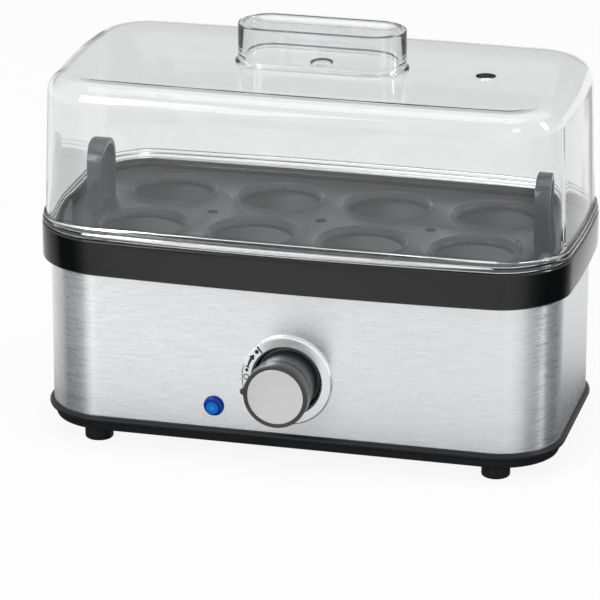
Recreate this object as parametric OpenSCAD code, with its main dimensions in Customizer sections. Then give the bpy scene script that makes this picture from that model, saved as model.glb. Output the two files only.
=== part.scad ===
// Eight-egg cooker: a brushed steel housing with a heated water dish, an egg tray,
// a clear lid and one timer dial. Millimetres, +Z up, the dial faces -Y.
// The origin is the middle of the outline, on the surface that the feet stand on.

/* [Housing] */
// Length of the steel sleeve
shell_l = 236.1; // [226:1:262]
// Depth of the steel sleeve
shell_d = 115.4; // [111:1:130]
// Height of the steel sleeve between the base ledge and the collar
shell_h = 69; // [66:1:84]
// Corner radius of the sleeve and the collar
corner_r = 28.2; // [26:0.5:32]
// Sheet thickness of the sleeve
shell_t = 0.8; // [0.5:0.1:1.2]

/* [Collar] */
// Height of the glossy collar
collar_h = 16.9; // [16:0.5:22]
// How far the collar stands past the sleeve at the ends, before its bow
collar_over_end = 1.35; // [1:0.25:4]
// How far the collar stands past the sleeve at the front, before its bow
collar_over_side = 3.2; // [3:0.25:5]
// Bow of the collar's ends
collar_bow_end = 3.1; // [1:0.5:4]
// Bow of the collar's front and back
collar_bow_side = 4.9; // [3:0.5:6]
// Width of the ledge that carries the dish
ledge_w = 6.5; // [5.5:0.5:7]

/* [Base] */
// Height of the feet under the base
foot_h = 6.5; // [5:0.5:12]
// Diameter of a foot
foot_d = 13; // [10:0.5:14]
// Distance of the feet from the sleeve's ends
foot_in_end = 25.75; // [25:0.5:30]
// Distance of the feet from the sleeve's front and back
foot_in_side = 9.9; // [9.5:0.5:12]
// Height of the lower step of the base
step_h = 4; // [3:0.5:6]
// Height of the ledge that stands proud under the sleeve
ledge_h = 3.5; // [2.5:0.5:5]
// How far that ledge stands proud of the sleeve
ledge_out = 2; // [1:0.25:3]
// Wall and floor thickness of the moulded parts
mould_t = 2.4; // [2:0.1:2.8]

/* [Lid] */
// Height of the lid over the collar, without its handle
lid_h = 70.3; // [64:1:90]
// Wall thickness of the lid
lid_t = 2.2; // [1.6:0.1:2.6]
// Radius of the lid's upper edge
lid_fillet = 9.5; // [6:0.5:12]
// How much the lid's sides lean in from bottom to top
lid_lean = 1.8; // [1:0.1:2.4]
// Bow of the lid's ends
lid_bow_end = 3.7; // [2:0.5:4]
// Bow of the lid's front and back
lid_bow_side = 2; // [1:0.5:3]
// Diameter of the steam hole
steam_d = 8.4; // [6:0.2:12]
// Distance of the steam hole from the lid's middle
steam_x = 74.9; // [50:1:85]
// Length of the handle ring on the lid
ring_l = 77; // [66:1:90]
// Width of the handle ring
ring_w = 29.2; // [24:0.5:34]
// Height of the handle ring
ring_h = 18; // [12:0.5:26]
// Wall thickness of the handle ring
ring_t = 2.7; // [2:0.1:3.4]

/* [Egg tray] */
// Distance between neighbouring eggs
egg_pitch = 51; // [49:0.5:52]
// Diameter of the seat holes
seat_d = 36; // [30:0.5:38]
// Thickness of the tray
tray_t = 2.8; // [2:0.1:3.2]
// Height of the arched tray handles
arch_h = 30.8; // [26:0.2:40]
// Outer width of the arches
arch_w = 22; // [20:0.5:34]
// Length of an arch along the tray
arch_l = 8; // [6:0.5:9]
// Thickness of an arch
arch_t = 3.2; // [2.4:0.1:4]

/* [Dial] */
// Place of the dial along the front
dial_x = -1.2; // [-6:0.2:6]
// Height of the dial's axis
dial_z = 39.9; // [38.5:0.1:41]
// Diameter of the knob
knob_d = 29.2; // [26:0.2:29.4]
// How far the knob stands out from the sleeve
knob_out = 22.15; // [16:0.5:26]
// Diameter of the silver ring around the knob
bezel_d = 41.8; // [39:0.2:44]
// Diameter of the silver cap in the knob
cap_d = 25.6; // [20:0.2:25.8]
// Diameter of the control shaft
shaft_d = 6; // [5:0.1:6.2]

/* [Indicator] */
// Place of the lens along the front
lens_x = -35.2; // [-50:0.2:-35]
// Height of the lens
lens_z = 24.3; // [24:0.2:34]
// Diameter of the lens head
lens_d = 9.4; // [8.6:0.1:10]

/* [Heating] */
// Depth of the water dish below its rim
dish_depth = 14; // [12:0.5:15]
// Sheet thickness of the dish
dish_t = 1.5; // [1:0.1:2]
// Diameter of the heating tube
tube_d = 6.5; // [5.5:0.1:7]
// Distance between the two legs of the heating tube
tube_gap = 60; // [50:1:62]
// Diameter of the cord that the rear gland would hold
cord_d = 6.6; // [5.5:0.1:8]

/* [Hidden] */
$fn = 64;

// Small clearances
slide_gap = 0.3;      // around pieces that drop into a pocket
fit_gap = 0.05;       // around pins, shafts and screws
seam = 0.1;           // between a round piece and the flat that it rests against
eps = 0.01;           // thickness of the slabs that hull() joins
cut = 1;              // how far a cut runs past a face

// Heights
z_step = foot_h;
z_ledge = z_step + step_h;
z_shell = z_ledge + ledge_h;
z_collar = z_shell + shell_h;
z_rim = z_collar + collar_h;
z_top = z_rim + lid_h;

// Outline half sizes
front_y = -shell_d / 2;
collar_l = shell_l + 2 * collar_over_end;
collar_d = shell_d + 2 * collar_over_side;
// The lid's wall at its foot, seen from above: how far it stands inside the collar's outline
lid_in_end = 2.45;
lid_in_side = 1.35;
lid_l = collar_l - 2 * lid_in_end;
lid_d = collar_d - 2 * lid_in_side;
lid_r = corner_r - 3.4;
// The whole part reaches from the knob's face to the bowed back of the collar
body_y = (knob_out + shell_d / 2 - collar_d / 2 - collar_bow_side) / 2;

// Insets from the lid's wall
spigot_in = 1;                        // outside of the spigot that drops into the collar
spigot_h = 2.5;
mouth_in = spigot_in - 0.4;           // the collar's mouth
tray_in = lid_t + 1.5;                // edge of the egg tray
seal_t = 1.5;
z_seat = z_rim - 6.3;                 // top of the dish's rim, where the tray rests
z_pocket = z_seat - dish_t - seal_t;  // the collar's inner ledge
ledge_in = mouth_in + ledge_w;
bowl_in = ledge_in + 5.5;
z_dish = z_seat - dish_depth;         // water side of the dish's floor
z_heat = z_dish - dish_t;             // underside of the dish

stem_d = 6;                           // stem of a foot, pressed through the floor

// Screw posts of the collar, between the bowl and the sleeve
post_d = 7;
post_in_end = 15.6;
post_in_side = 10.5;
screw_d = 3.5;
screw_head_d = 6.2;
screw_head_t = 2.4;
screw_len = 16;
slot_l = 4;                            // screwdriver slots
slot_w = 0.8;
slot_h = 1.2;
sink_d = screw_head_d + 0.6;           // countersunk well of a base screw
base_lip_h = 3;
band_lip_h = 4;
tuck_h = 3;                            // how far the sleeve stands up into the collar
lip_in = shell_t + mould_t;
post_x = shell_l / 2 - post_in_end;
post_y = shell_d / 2 - post_in_side;
boss_h = 7;
foot_x = shell_l / 2 - foot_in_end;
foot_y = shell_d / 2 - foot_in_side;

// Heating tube, clamps and shield under the dish
z_tube = z_heat - seam - tube_d / 2;
tube_x = lid_l / 2 - bowl_in - 25.8;
bar_t = 1.2;
bar_w = 12;
z_bar = z_tube - tube_d / 2 - seam - bar_t;
shield_t = 0.8;
z_shield = z_bar - shield_t;
nut_h = 3.2;
nut_w = 8;                            // across its corners
stud_d = 4;
stud_x = tube_x - 25;
stud_len = z_heat - z_shield + nut_h + 1;

// Dial stack, measured back from the sleeve's front face
inner_y = front_y + shell_t;
bezel_t = 2;
bezel_bore = knob_d + 1.8;
spigot_wall = 1.5;
cup_bore = bezel_bore;
cup_d = bezel_bore + 2 * spigot_wall + 3.4;
cup_depth = 8.2;
cup_floor = 2;
cup_y = inner_y + cup_depth;
ear_x = cup_d / 2 + 2.5;
ear_d = 8;
small_screw_d = 3;
plate_t = 1;
plate_h = 18;        // height of the bracket's plate
tab_l = 24;          // tab that reaches up to the dish
tab_fold = 12;
small_head_d = 5.6;
small_head_t = 1.8;
small_screw_len = 5.5;
stat_l = 28;
stat_h = 24;
stat_t = 20;
neck_d = shaft_d + 3;
knob_back = cup_y - cup_floor - 1;
knob_wall = 2;
knob_rim = 8;                         // length of the full-width grip at the front
knob_waist = 0.8;                     // how far the knob draws in behind it
dial_off = 175;      // angle of the off mark, degrees from +X seen from the front

// Indicator
lens_neck_d = lens_d - 1.4;
lamp_d = 5;

// Rear gland and terminal block
gland_x = 70;
gland_z = z_shell + 14;
gland_d = cord_d + 5.4;
gland_out = 6;
block_l = 30;
block_w = 16;
block_h = 14;
block_x = gland_x - 20;
block_y = shell_d / 2 - 34;
z_floor = z_step + mould_t;

// Points of a rounded rectangle, l by d with corner radius r, whose sides bow out by
// bow_end and bow_side in their middles
function outline(l, d, r, bow_end = 0, bow_side = 0, n = 8) = [
    for (corner = [0 : 3], step = [0 : n])
        let (a = 90 * (corner + step / n),
             sx = (corner == 0 || corner == 3) ? 1 : -1,
             sy = corner < 2 ? 1 : -1,
             x = sx * (l / 2 - r) + r * cos(a),
             y = sy * (d / 2 - r) + r * sin(a))
        each concat([bowed(x, y, l, d, bow_end, bow_side)],
            step == n ? side_points(corner, l, d, r, bow_end, bow_side) : [])
];

// One outline point moved out by the bows
function bowed(x, y, l, d, bow_end, bow_side) = [
    x * (1 + 2 * bow_end / l * (1 - pow(2 * y / d, 2))),
    y * (1 + 2 * bow_side / d * (1 - pow(2 * x / l, 2)))
];

// Points along the side that follows a corner, only where the sides bow
function side_points(corner, l, d, r, bow_end, bow_side, n = 6) =
    (bow_end == 0 && bow_side == 0) ? [] : [
        for (i = [1 : n - 1])
            let (t = 1 - 2 * i / n,
                 along = corner % 2 == 0,
                 s = corner < 2 ? 1 : -1,
                 x = along ? s * t * (l / 2 - r) : -s * l / 2,
                 y = along ? s * d / 2 : s * t * (d / 2 - r))
            bowed(x, y, l, d, bow_end, bow_side)
    ];

function sleeve_outline(inset) =
    outline(shell_l - 2 * inset, shell_d - 2 * inset, corner_r - inset);
function collar_outline(inset) =
    outline(collar_l - 2 * inset, collar_d - 2 * inset, corner_r - inset,
        collar_bow_end, collar_bow_side);
function lid_outline(inset) =
    outline(lid_l - 2 * inset, lid_d - 2 * inset, max(lid_r - inset, 2),
        lid_bow_end, lid_bow_side);

// Everything but the origin is laid out around the sleeve's middle
module placed() {
    translate([0, body_y, 0]) children();
}

module prism(points, z0, z1) {
    translate([0, 0, z0]) linear_extrude(z1 - z0) polygon(points);
}

// Triangles between n-point rings stacked one over the other
function ring_faces(n, rings) = [
    for (i = [0 : rings - 2], k = [0 : n - 1])
        let (a = i * n + k, b = i * n + (k + 1) % n)
        each [[a, a + n, b + n], [a, b + n, b]]
];

function end_faces(n, rings) = [
    [for (k = [0 : n - 1]) k],
    [for (k = [n - 1 : -1 : 0]) (rings - 1) * n + k]
];

// Closed solid through outlines that each have a height: levels = [[points, z], ...]
module skin(levels) {
    n = len(levels[0][0]);
    polyhedron(
        points = [for (level = levels, p = level[0]) [p[0], p[1], level[1]]],
        faces = concat(end_faces(n, len(levels)), ring_faces(n, len(levels)))
    );
}

// A cylinder whose axis runs along Y, from y0 back to y1
module rod_y(d, x, z, y0, y1) {
    translate([x, y0, z]) rotate([-90, 0, 0]) cylinder(d = d, h = y1 - y0);
}

module at_corners(x, y) {
    for (sx = [-1, 1], sy = [-1, 1]) translate([sx * x, sy * y, 0]) children();
}

module at_eggs() {
    for (i = [-1.5 : 1.5], j = [-0.5, 0.5])
        translate([i * egg_pitch, j * egg_pitch, 0]) children();
}

// ---------- Base ----------
module base_tray() {
    color("#1d1e20") placed() difference() {
        union() {
            difference() {
                base_skin();
                prism(sleeve_outline(shell_t + slide_gap + mould_t), z_floor,
                    z_shell + base_lip_h + cut);
            }
            at_corners(post_x, post_y)
                translate([0, 0, z_step]) cylinder(d = sink_d + 2.4, h = boss_h + mould_t);
        }
        base_holes();
    }
}

// Lower step, proud ledge and the lip that stands inside the sleeve
module base_skin() {
    skin([
        [sleeve_outline(1), z_step],
        [sleeve_outline(1), z_ledge],
        [sleeve_outline(1.2 - ledge_out), z_ledge],
        [sleeve_outline(-ledge_out), z_ledge + 0.9],
        [sleeve_outline(-ledge_out), z_shell - 1.2],
        [sleeve_outline(0.4 - ledge_out), z_shell - 0.4],
        [sleeve_outline(1.2 - ledge_out), z_shell],
        [sleeve_outline(shell_t + slide_gap), z_shell],
        [sleeve_outline(shell_t + slide_gap), z_shell + base_lip_h]
    ]);
}

module base_holes() {
    at_corners(foot_x, foot_y)
        translate([0, 0, z_step - cut]) cylinder(d = stem_d + 2 * fit_gap, h = mould_t + 2 * cut);
    // Wells for the screws' heads, shank holes, and room for the posts above them
    at_corners(post_x, post_y) {
        translate([0, 0, z_step - cut]) cylinder(d = sink_d, h = boss_h + cut);
        translate([0, 0, z_step]) cylinder(d = screw_d + 2 * fit_gap, h = boss_h + mould_t + cut);
        translate([0, 0, z_step + boss_h + mould_t]) cylinder(d = post_d + 2 * slide_gap, h = 9);
    }
    // Cooling slots
    for (row = [-1, 1], i = [-2 : 2])
        translate([12 * i - 2, 22 * row - 8, z_step - cut]) cube([4, 16, mould_t + 2 * cut]);
}

module feet() {
    color("#17181a") placed() at_corners(foot_x, foot_y) {
        rotate_extrude() polygon([
            [0, 0], [foot_d / 2 - 0.8, 0], [foot_d / 2, 0.8],
            [foot_d / 2, z_step], [0, z_step]
        ]);
        translate([0, 0, z_step - eps]) cylinder(d = stem_d, h = mould_t + eps);
    }
}

module base_screws() {
    color("#9a9c9e") placed() at_corners(post_x, post_y) {
        head_z = z_step + boss_h;
        difference() {
            translate([0, 0, head_z - screw_head_t]) cylinder(d = screw_head_d, h = screw_head_t);
            for (a = [0, 90]) rotate(a)
                translate([-slot_l / 2, -slot_w / 2, head_z - screw_head_t - cut])
                    cube([slot_l, slot_w, slot_h + cut]);
        }
        translate([0, 0, head_z - eps]) cylinder(d = screw_d, h = screw_len);
    }
}

// ---------- Housing ----------
module body_shell() {
    color("#d3d5d6") placed() difference() {
        prism(sleeve_outline(0), z_shell, z_collar + tuck_h);
        prism(sleeve_outline(shell_t), z_shell - cut, z_collar + tuck_h + cut);
        rod_y(bezel_bore + 2 * spigot_wall + 2 * fit_gap, dial_x, dial_z, front_y - cut, 0);
        rod_y(lens_neck_d + 2 * fit_gap, lens_x, lens_z, front_y - cut, 0);
        rod_y(gland_d + 2 * fit_gap, gland_x, gland_z, 0, shell_d / 2 + cut);
    }
}

module trim_band() {
    color("#26282a") placed() difference() {
        union() {
            difference() {
                skin([
                    [collar_outline(0.9), z_collar],
                    [collar_outline(0), z_collar + 0.9],
                    [collar_outline(0), z_rim - 1.2],
                    [collar_outline(0.4), z_rim - 0.4],
                    [collar_outline(1.2), z_rim]
                ]);
                prism(lid_outline(mouth_in), z_pocket, z_rim + cut);
                prism(lid_outline(ledge_in), z_collar - cut, z_pocket + cut);
                prism(sleeve_outline(-fit_gap), z_collar - cut, z_collar + tuck_h + fit_gap);
                band_core();
            }
            band_lip();
            at_corners(post_x, post_y)
                translate([0, 0, z_step + boss_h + mould_t])
                    cylinder(d = post_d, h = z_pocket - 1 - z_step - boss_h - mould_t);
        }
        at_corners(post_x, post_y)
            translate([0, 0, z_step]) cylinder(d = screw_d + 2 * fit_gap, h = boss_h + 18);
    }
}

// Hollow under the collar's ledge
module band_core() {
    prism(sleeve_outline(lip_in), z_collar - cut, z_pocket - mould_t);
}

// Wall inside the sleeve that keeps it square
module band_lip() {
    difference() {
        prism(sleeve_outline(shell_t + fit_gap), z_collar - band_lip_h, z_pocket - mould_t + seam);
        prism(sleeve_outline(lip_in), z_collar - band_lip_h - cut, z_pocket - mould_t + cut);
    }
}

// ---------- Dish ----------
module plate_seal() {
    color("#b9492f") placed() difference() {
        prism(lid_outline(mouth_in + slide_gap), z_pocket, z_pocket + seal_t);
        prism(lid_outline(ledge_in), z_pocket - cut, z_pocket + seal_t + cut);
    }
}

// Rounded foot of the bowl, drawn in from its wall
function bowl_levels(inset, z) = [
    [lid_outline(inset + 3), z],
    [lid_outline(inset + 0.9), z + 0.9],
    [lid_outline(inset), z + 3]
];

module water_dish() {
    color("#6f7275") placed() {
        difference() {
            skin(concat(bowl_levels(bowl_in, z_heat), [
                [lid_outline(bowl_in), z_seat - dish_t],
                [lid_outline(mouth_in + slide_gap), z_seat - dish_t],
                [lid_outline(mouth_in + slide_gap), z_seat]
            ]));
            skin(concat(bowl_levels(bowl_in + dish_t, z_dish), [
                [lid_outline(bowl_in + dish_t), z_seat + cut]
            ]));
        }
        for (sx = [-1, 1])
            translate([sx * stud_x, 0, z_heat - stud_len])
                cylinder(d = stud_d, h = stud_len + dish_t / 2);
    }
}

module heating_element() {
    color("#4a4542") placed() translate([0, 0, z_tube]) {
        translate([-tube_x + tube_gap / 2, 0, 0]) rotate(90) rotate_extrude(angle = 180)
            translate([tube_gap / 2, 0]) circle(d = tube_d);
        for (sy = [-1, 1])
            translate([-tube_x + tube_gap / 2, sy * tube_gap / 2, 0]) rotate([0, 90, 0]) {
                cylinder(d = tube_d, h = 2 * tube_x - tube_gap / 2 - 8);
                cylinder(d = 3, h = 2 * tube_x - tube_gap / 2 + 4);
            }
    }
}

module clamp_bars() {
    color("#a7a9ab") placed() for (sx = [-1, 1]) difference() {
        translate([sx * stud_x - bar_w / 2, -tube_gap / 2 - tube_d, z_bar])
            cube([bar_w, tube_gap + 2 * tube_d, bar_t]);
        translate([sx * stud_x, 0, z_bar - cut])
            cylinder(d = stud_d + 2 * fit_gap, h = bar_t + 2 * cut);
    }
}

module heat_shield() {
    color("#c4c6c7") placed() difference() {
        prism(lid_outline(bowl_in + 6), z_shield, z_bar);
        for (sx = [-1, 1])
            translate([sx * stud_x, 0, z_shield - cut])
                cylinder(d = stud_d + 2 * fit_gap, h = shield_t + 2 * cut);
        // The shield stops short of the heating tube's terminals
        translate([tube_x - 6, -lid_d, z_shield - cut]) cube([lid_l, 2 * lid_d, shield_t + 2 * cut]);
    }
}

module dish_nuts() {
    color("#b5b7b8") placed() for (sx = [-1, 1])
        translate([sx * stud_x, 0, z_shield - nut_h]) difference() {
            cylinder(d = nut_w, h = nut_h, $fn = 6);
            translate([0, 0, -cut]) cylinder(d = stud_d + 2 * fit_gap, h = nut_h + 2 * cut);
        }
}

fuse_x = 20;
fuse_d = 4.2;
fuse_l = 14;
clip_t = 0.8;

module thermal_fuse() {
    color("#e6e2d6") placed() translate([fuse_x, 0, z_heat - seam - fuse_d / 2])
        rotate([90, 0, 0]) {
            cylinder(d = fuse_d, h = fuse_l, center = true);
            cylinder(d = 1.2, h = fuse_l + 10, center = true);
        }
}

module fuse_clip() {
    inner = fuse_d / 2 + seam;
    outer = inner + clip_t;
    foot = outer + 4;
    deep = fuse_d + 2 * seam;
    color("#a7a9ab") placed() translate([fuse_x, 4, z_heat]) rotate([90, 0, 0])
        linear_extrude(8) polygon([
            [-foot, 0], [-foot, -clip_t], [-outer, -clip_t], [-outer, -deep - clip_t],
            [outer, -deep - clip_t], [outer, -clip_t], [foot, -clip_t], [foot, 0],
            [inner, 0], [inner, -deep], [-inner, -deep], [-inner, 0]
        ]);
}

// ---------- Dial ----------
module dial_cup() {
    color("#141516") placed() difference() {
        union() {
            rod_y(cup_d, dial_x, dial_z, inner_y, cup_y);
            for (sx = [-1, 1])
                rod_y(ear_d, dial_x + sx * ear_x, dial_z, inner_y, cup_y);
        }
        rod_y(bezel_bore + 2 * spigot_wall + 2 * fit_gap, dial_x, dial_z,
            inner_y - cut, inner_y + 1.6);
        rod_y(cup_bore, dial_x, dial_z, inner_y - cut, cup_y - cup_floor);
        rod_y(neck_d + 2 * fit_gap, dial_x, dial_z, inner_y, cup_y + cut);
        for (sx = [-1, 1])
            rod_y(small_screw_d + 2 * fit_gap, dial_x + sx * ear_x, dial_z,
                cup_y - 6, cup_y + cut);
    }
}

module dial_bezel() {
    color("#dfe1e2") placed() translate([dial_x, front_y, dial_z]) rotate([90, 0, 0])
        rotate_extrude() polygon([
            [bezel_bore / 2, -shell_t - 1.5], [bezel_bore / 2 + spigot_wall, -shell_t - 1.5],
            [bezel_bore / 2 + spigot_wall, 0], [bezel_d / 2, 0], [bezel_d / 2, 0.5],
            [bezel_d / 2 - 0.9, bezel_t - 0.3], [bezel_d / 2 - 1.5, bezel_t],
            [bezel_bore / 2 + 0.9, bezel_t], [bezel_bore / 2, bezel_t - 1]
        ]);
}

module thermostat() {
    color("#d9d4c8") placed() difference() {
        union() {
            translate([dial_x - stat_l / 2, cup_y + plate_t, dial_z - stat_h / 2])
                cube([stat_l, stat_t, stat_h]);
            rod_y(neck_d, dial_x, dial_z, cup_y - cup_floor, cup_y + plate_t + eps);
            for (sx = [-1, 1])
                translate([dial_x + sx * 8 - 0.4, cup_y + plate_t + stat_t - eps, dial_z - 3])
                    cube([0.8, 7, 6]);
        }
        rod_y(shaft_d + 2 * fit_gap, dial_x, dial_z, 0 - shell_d, cup_y + plate_t + 12);
    }
}

module thermostat_bracket() {
    color("#b2b4b6") placed() difference() {
        union() {
            translate([dial_x - ear_x - ear_d / 2 - 1, cup_y, dial_z - plate_h / 2])
                cube([2 * ear_x + ear_d + 2, plate_t, plate_h]);
            translate([dial_x - tab_l / 2, cup_y, dial_z])
                cube([tab_l, plate_t, z_heat - dial_z]);
            translate([dial_x - tab_l / 2, cup_y, z_heat - plate_t])
                cube([tab_l, tab_fold, plate_t]);
        }
        rod_y(neck_d + 2 * fit_gap, dial_x, dial_z, inner_y, cup_y + plate_t + cut);
        for (sx = [-1, 1])
            rod_y(small_screw_d + 2 * fit_gap, dial_x + sx * ear_x, dial_z,
                cup_y - cut, cup_y + plate_t + cut);
    }
}

module bracket_screws() {
    color("#9a9c9e") placed() for (sx = [-1, 1]) difference() {
        union() {
            rod_y(small_screw_d, dial_x + sx * ear_x, dial_z,
                cup_y - small_screw_len, cup_y + plate_t);
            rod_y(small_head_d, dial_x + sx * ear_x, dial_z,
                cup_y + plate_t, cup_y + plate_t + small_head_t);
        }
        translate([dial_x + sx * ear_x - slot_l / 2, cup_y + plate_t + 1, dial_z - slot_w / 2])
            cube([slot_l, small_head_t, slot_w]);
    }
}

// D-shaped control shaft; the flat faces up at the off mark
module thermostat_shaft() {
    color("#c9cbcc") placed() difference() {
        rod_y(shaft_d, dial_x, dial_z, front_y - knob_out + 5, cup_y + plate_t + 11);
        translate([dial_x - shaft_d, front_y - knob_out, dial_z + shaft_d / 4])
            cube([2 * shaft_d, knob_out - 2, shaft_d]);
    }
}

module control_knob() {
    knob_y = front_y - knob_out;
    color("#303234") placed() difference() {
        union() {
            rod_y(knob_d, dial_x, dial_z, knob_y, knob_y + knob_rim);
            translate([dial_x, knob_y + knob_rim - eps, dial_z]) rotate([-90, 0, 0])
                cylinder(d1 = knob_d - knob_waist, d2 = knob_d - 2 * knob_waist,
                    h = knob_out - knob_rim + 1.2 + 2 * eps);
            rod_y(knob_d, dial_x, dial_z, front_y + 1.2, knob_back);
            translate([dial_x, knob_y, dial_z]) rotate([0, 180 - dial_off, 0])
                translate([-knob_d / 2 - 1.5, 0, 0]) pointer_ridge();
        }
        rod_y(cap_d + 2 * fit_gap, dial_x, dial_z, knob_y - cut, knob_y + 1.3);
        difference() {
            rod_y(knob_d - 2 * knob_waist - 2 * knob_wall, dial_x, dial_z, knob_y + 4, knob_back + cut);
            rod_y(shaft_d + 5, dial_x, dial_z, knob_y, knob_back - 3);
        }
        difference() {
            rod_y(shaft_d + 2 * fit_gap, dial_x, dial_z, knob_y + 4.8, knob_back + cut);
            translate([dial_x - shaft_d, knob_y, dial_z + shaft_d / 4 + fit_gap])
                cube([2 * shaft_d, knob_out - 2.2, shaft_d]);
        }
    }
}

module pointer_ridge() {
    rotate([-90, 0, 0]) linear_extrude(knob_rim)
        polygon([[0, -0.7], [0, 0.7], [2.6, 2.6], [2.6, -2.6]]);
}

module knob_cap() {
    color("#d4d5d5") placed()
        rod_y(cap_d, dial_x, dial_z, front_y - knob_out + 0.2, front_y - knob_out + 1.3);
}

// ---------- Indicator ----------
module indicator_lens() {
    color("#1048b8") placed() translate([lens_x, front_y, lens_z]) rotate([90, 0, 0])
        rotate_extrude() polygon([
            [0, -6], [lens_neck_d / 2, -6], [lens_neck_d / 2, 0], [lens_d / 2, 0],
            [lens_d / 2, 0.5], [lens_d / 2 - 0.7, 1.1], [lens_d / 2 - 2, 1.6], [0, 1.8]
        ]);
}

module lamp_nut() {
    color("#1b1c1e") placed() difference() {
        rod_y(lens_neck_d + 4.4, lens_x, lens_z, inner_y, inner_y + 2.2);
        rod_y(lens_neck_d + 2 * fit_gap, lens_x, lens_z, inner_y - cut, inner_y + 2.2 + cut);
    }
}

module indicator_lamp() {
    color("#dfe8f2") placed() {
        rod_y(lamp_d, lens_x, lens_z, front_y + 6, front_y + 12);
        rod_y(lamp_d + 1, lens_x, lens_z, front_y + 12 - eps, front_y + 13);
    }
}

// ---------- Rear inlet and wiring ----------
module cord_gland() {
    back_y = shell_d / 2;
    color("#1a1b1c") placed() difference() {
        union() {
            rod_y(gland_d, gland_x, gland_z, back_y - 9, back_y + gland_out);
            rod_y(gland_d + 4, gland_x, gland_z, back_y, back_y + 2);
        }
        rod_y(cord_d, gland_x, gland_z, back_y - 9 - cut, back_y + gland_out + cut);
    }
}

module gland_nut() {
    back_y = shell_d / 2 - shell_t;
    color("#2a2b2c") placed() difference() {
        translate([gland_x, back_y, gland_z]) rotate([90, 0, 0])
            cylinder(d = gland_d + 4, h = 4, $fn = 6);
        rod_y(gland_d + 2 * fit_gap, gland_x, gland_z, back_y - 4 - cut, back_y + cut);
    }
}

module terminal_block() {
    color("#e9e7df") placed() difference() {
        translate([block_x - block_l / 2, block_y - block_w / 2, z_floor])
            cube([block_l, block_w, block_h]);
        for (i = [-1 : 1]) {
            translate([block_x + 9 * i, block_y, z_floor + 5])
                cylinder(d = 4 + 2 * fit_gap, h = block_h);
            rod_y(3, block_x + 9 * i, z_floor + 4, block_y - block_w, block_y + block_w);
        }
    }
}

module terminal_screws() {
    color("#c9b168") placed() for (i = [-1 : 1])
        translate([block_x + 9 * i, block_y, z_floor + 5.5 + seam]) difference() {
            cylinder(d = 4, h = block_h - 7);
            translate([-3, -0.4, block_h - 8]) cube([6, 0.8, 2]);
        }
}

// Round lead along a cubic curve through two ends and two guide points
lead_d = 2.2;
lead_steps = 14;

function curve(p, t) = pow(1 - t, 3) * p[0] + 3 * t * pow(1 - t, 2) * p[1]
    + 3 * t * t * (1 - t) * p[2] + pow(t, 3) * p[3];

function ring_at(p, t) =
    let (ahead = curve(p, min(t + 0.01, 1)) - curve(p, max(t - 0.01, 0)),
         w = ahead / norm(ahead),
         side = cross([1, 0.6, 0.35], w),
         u = side / norm(side),
         v = cross(w, u))
    [for (k = [0 : 7]) curve(p, t) + lead_d / 2 * (cos(45 * k) * u + sin(45 * k) * v)];

module lead(p) {
    polyhedron(
        points = [for (i = [0 : lead_steps]) each ring_at(p, i / lead_steps)],
        faces = concat(end_faces(8, lead_steps + 1), ring_faces(8, lead_steps + 1))
    );
}

module internal_leads() {
    block_front = block_y - block_w / 2 - 0.2;
    stat_back = cup_y + plate_t + stat_t + 7.2;
    pin_x = tube_x + 4.3;
    color("#8f8a80") placed() {
        lead([[block_x - 9, block_front, z_floor + 4], [block_x - 12, block_front - 18, z_floor + 6],
            [dial_x + 8, stat_back + 20, dial_z - 4], [dial_x + 8, stat_back, dial_z]]);
        lead([[dial_x - 8, stat_back, dial_z], [dial_x - 8, stat_back + 24, dial_z + 4],
            [pin_x + 24, -tube_gap / 2, z_tube - 3], [pin_x, -tube_gap / 2, z_tube]]);
        lead([[block_x + 9, block_front, z_floor + 4], [block_x + 16, block_front - 26, z_floor + 8],
            [pin_x + 24, tube_gap / 2, z_tube - 3], [pin_x, tube_gap / 2, z_tube]]);
    }
}

// ---------- Egg tray ----------
module egg_tray() {
    lip = 1.4;
    tray_z = z_seat + tray_t;
    color("#4d5257") placed() difference() {
        union() {
            prism(lid_outline(tray_in), z_seat, tray_z);
            at_eggs() translate([0, 0, tray_z - eps]) rotate_extrude() polygon([
                [seat_d / 2 - 1, 0], [seat_d / 2 + 4, 0], [seat_d / 2 + 2.6, lip],
                [seat_d / 2 - 1, lip]
            ]);
        }
        at_eggs() translate([0, 0, z_seat - cut]) cylinder(d = seat_d, h = tray_t + lip + 2 * cut);
        at_eggs() translate([0, 0, tray_z - 1])
            cylinder(d1 = seat_d, d2 = seat_d + 4.6, h = 1 + lip + eps);
        for (i = [-1 : 1])
            translate([i * egg_pitch, 0, z_seat - cut]) cylinder(d = 5, h = tray_t + 2 * cut);
        for (sx = [-1, 1], sy = [-1, 1])
            translate([sx * arch_x - arch_l / 4, sy * (arch_w - arch_t) / 2 - arch_t / 4, z_seat - cut])
                cube([arch_l / 2, arch_t / 2, tray_t + 2 * cut]);
    }
}

// Arches at the ends of the tray
arch_in = 8.75;                                     // from the tray's edge to an arch
arch_x = lid_l / 2 + lid_bow_end - tray_in - arch_in - arch_l / 2;
arch_r = 10;

module tray_handle(side) {
    z0 = z_seat + tray_t;
    translate([side * arch_x, 0, z0]) {
        translate([-arch_l / 2, 0, 0]) rotate([90, 0, 90]) linear_extrude(arch_l) difference() {
            arch_face(arch_w, arch_h, arch_r);
            translate([0, -cut]) arch_face(arch_w - 2 * arch_t, arch_h - arch_t + cut, arch_r - arch_t);
        }
        for (sy = [-1, 1])
            translate([-arch_l / 4 + fit_gap, sy * (arch_w - arch_t) / 2 - arch_t / 4 + fit_gap, -tray_t])
                cube([arch_l / 2 - 2 * fit_gap, arch_t / 2 - 2 * fit_gap, tray_t + eps]);
    }
}

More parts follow.
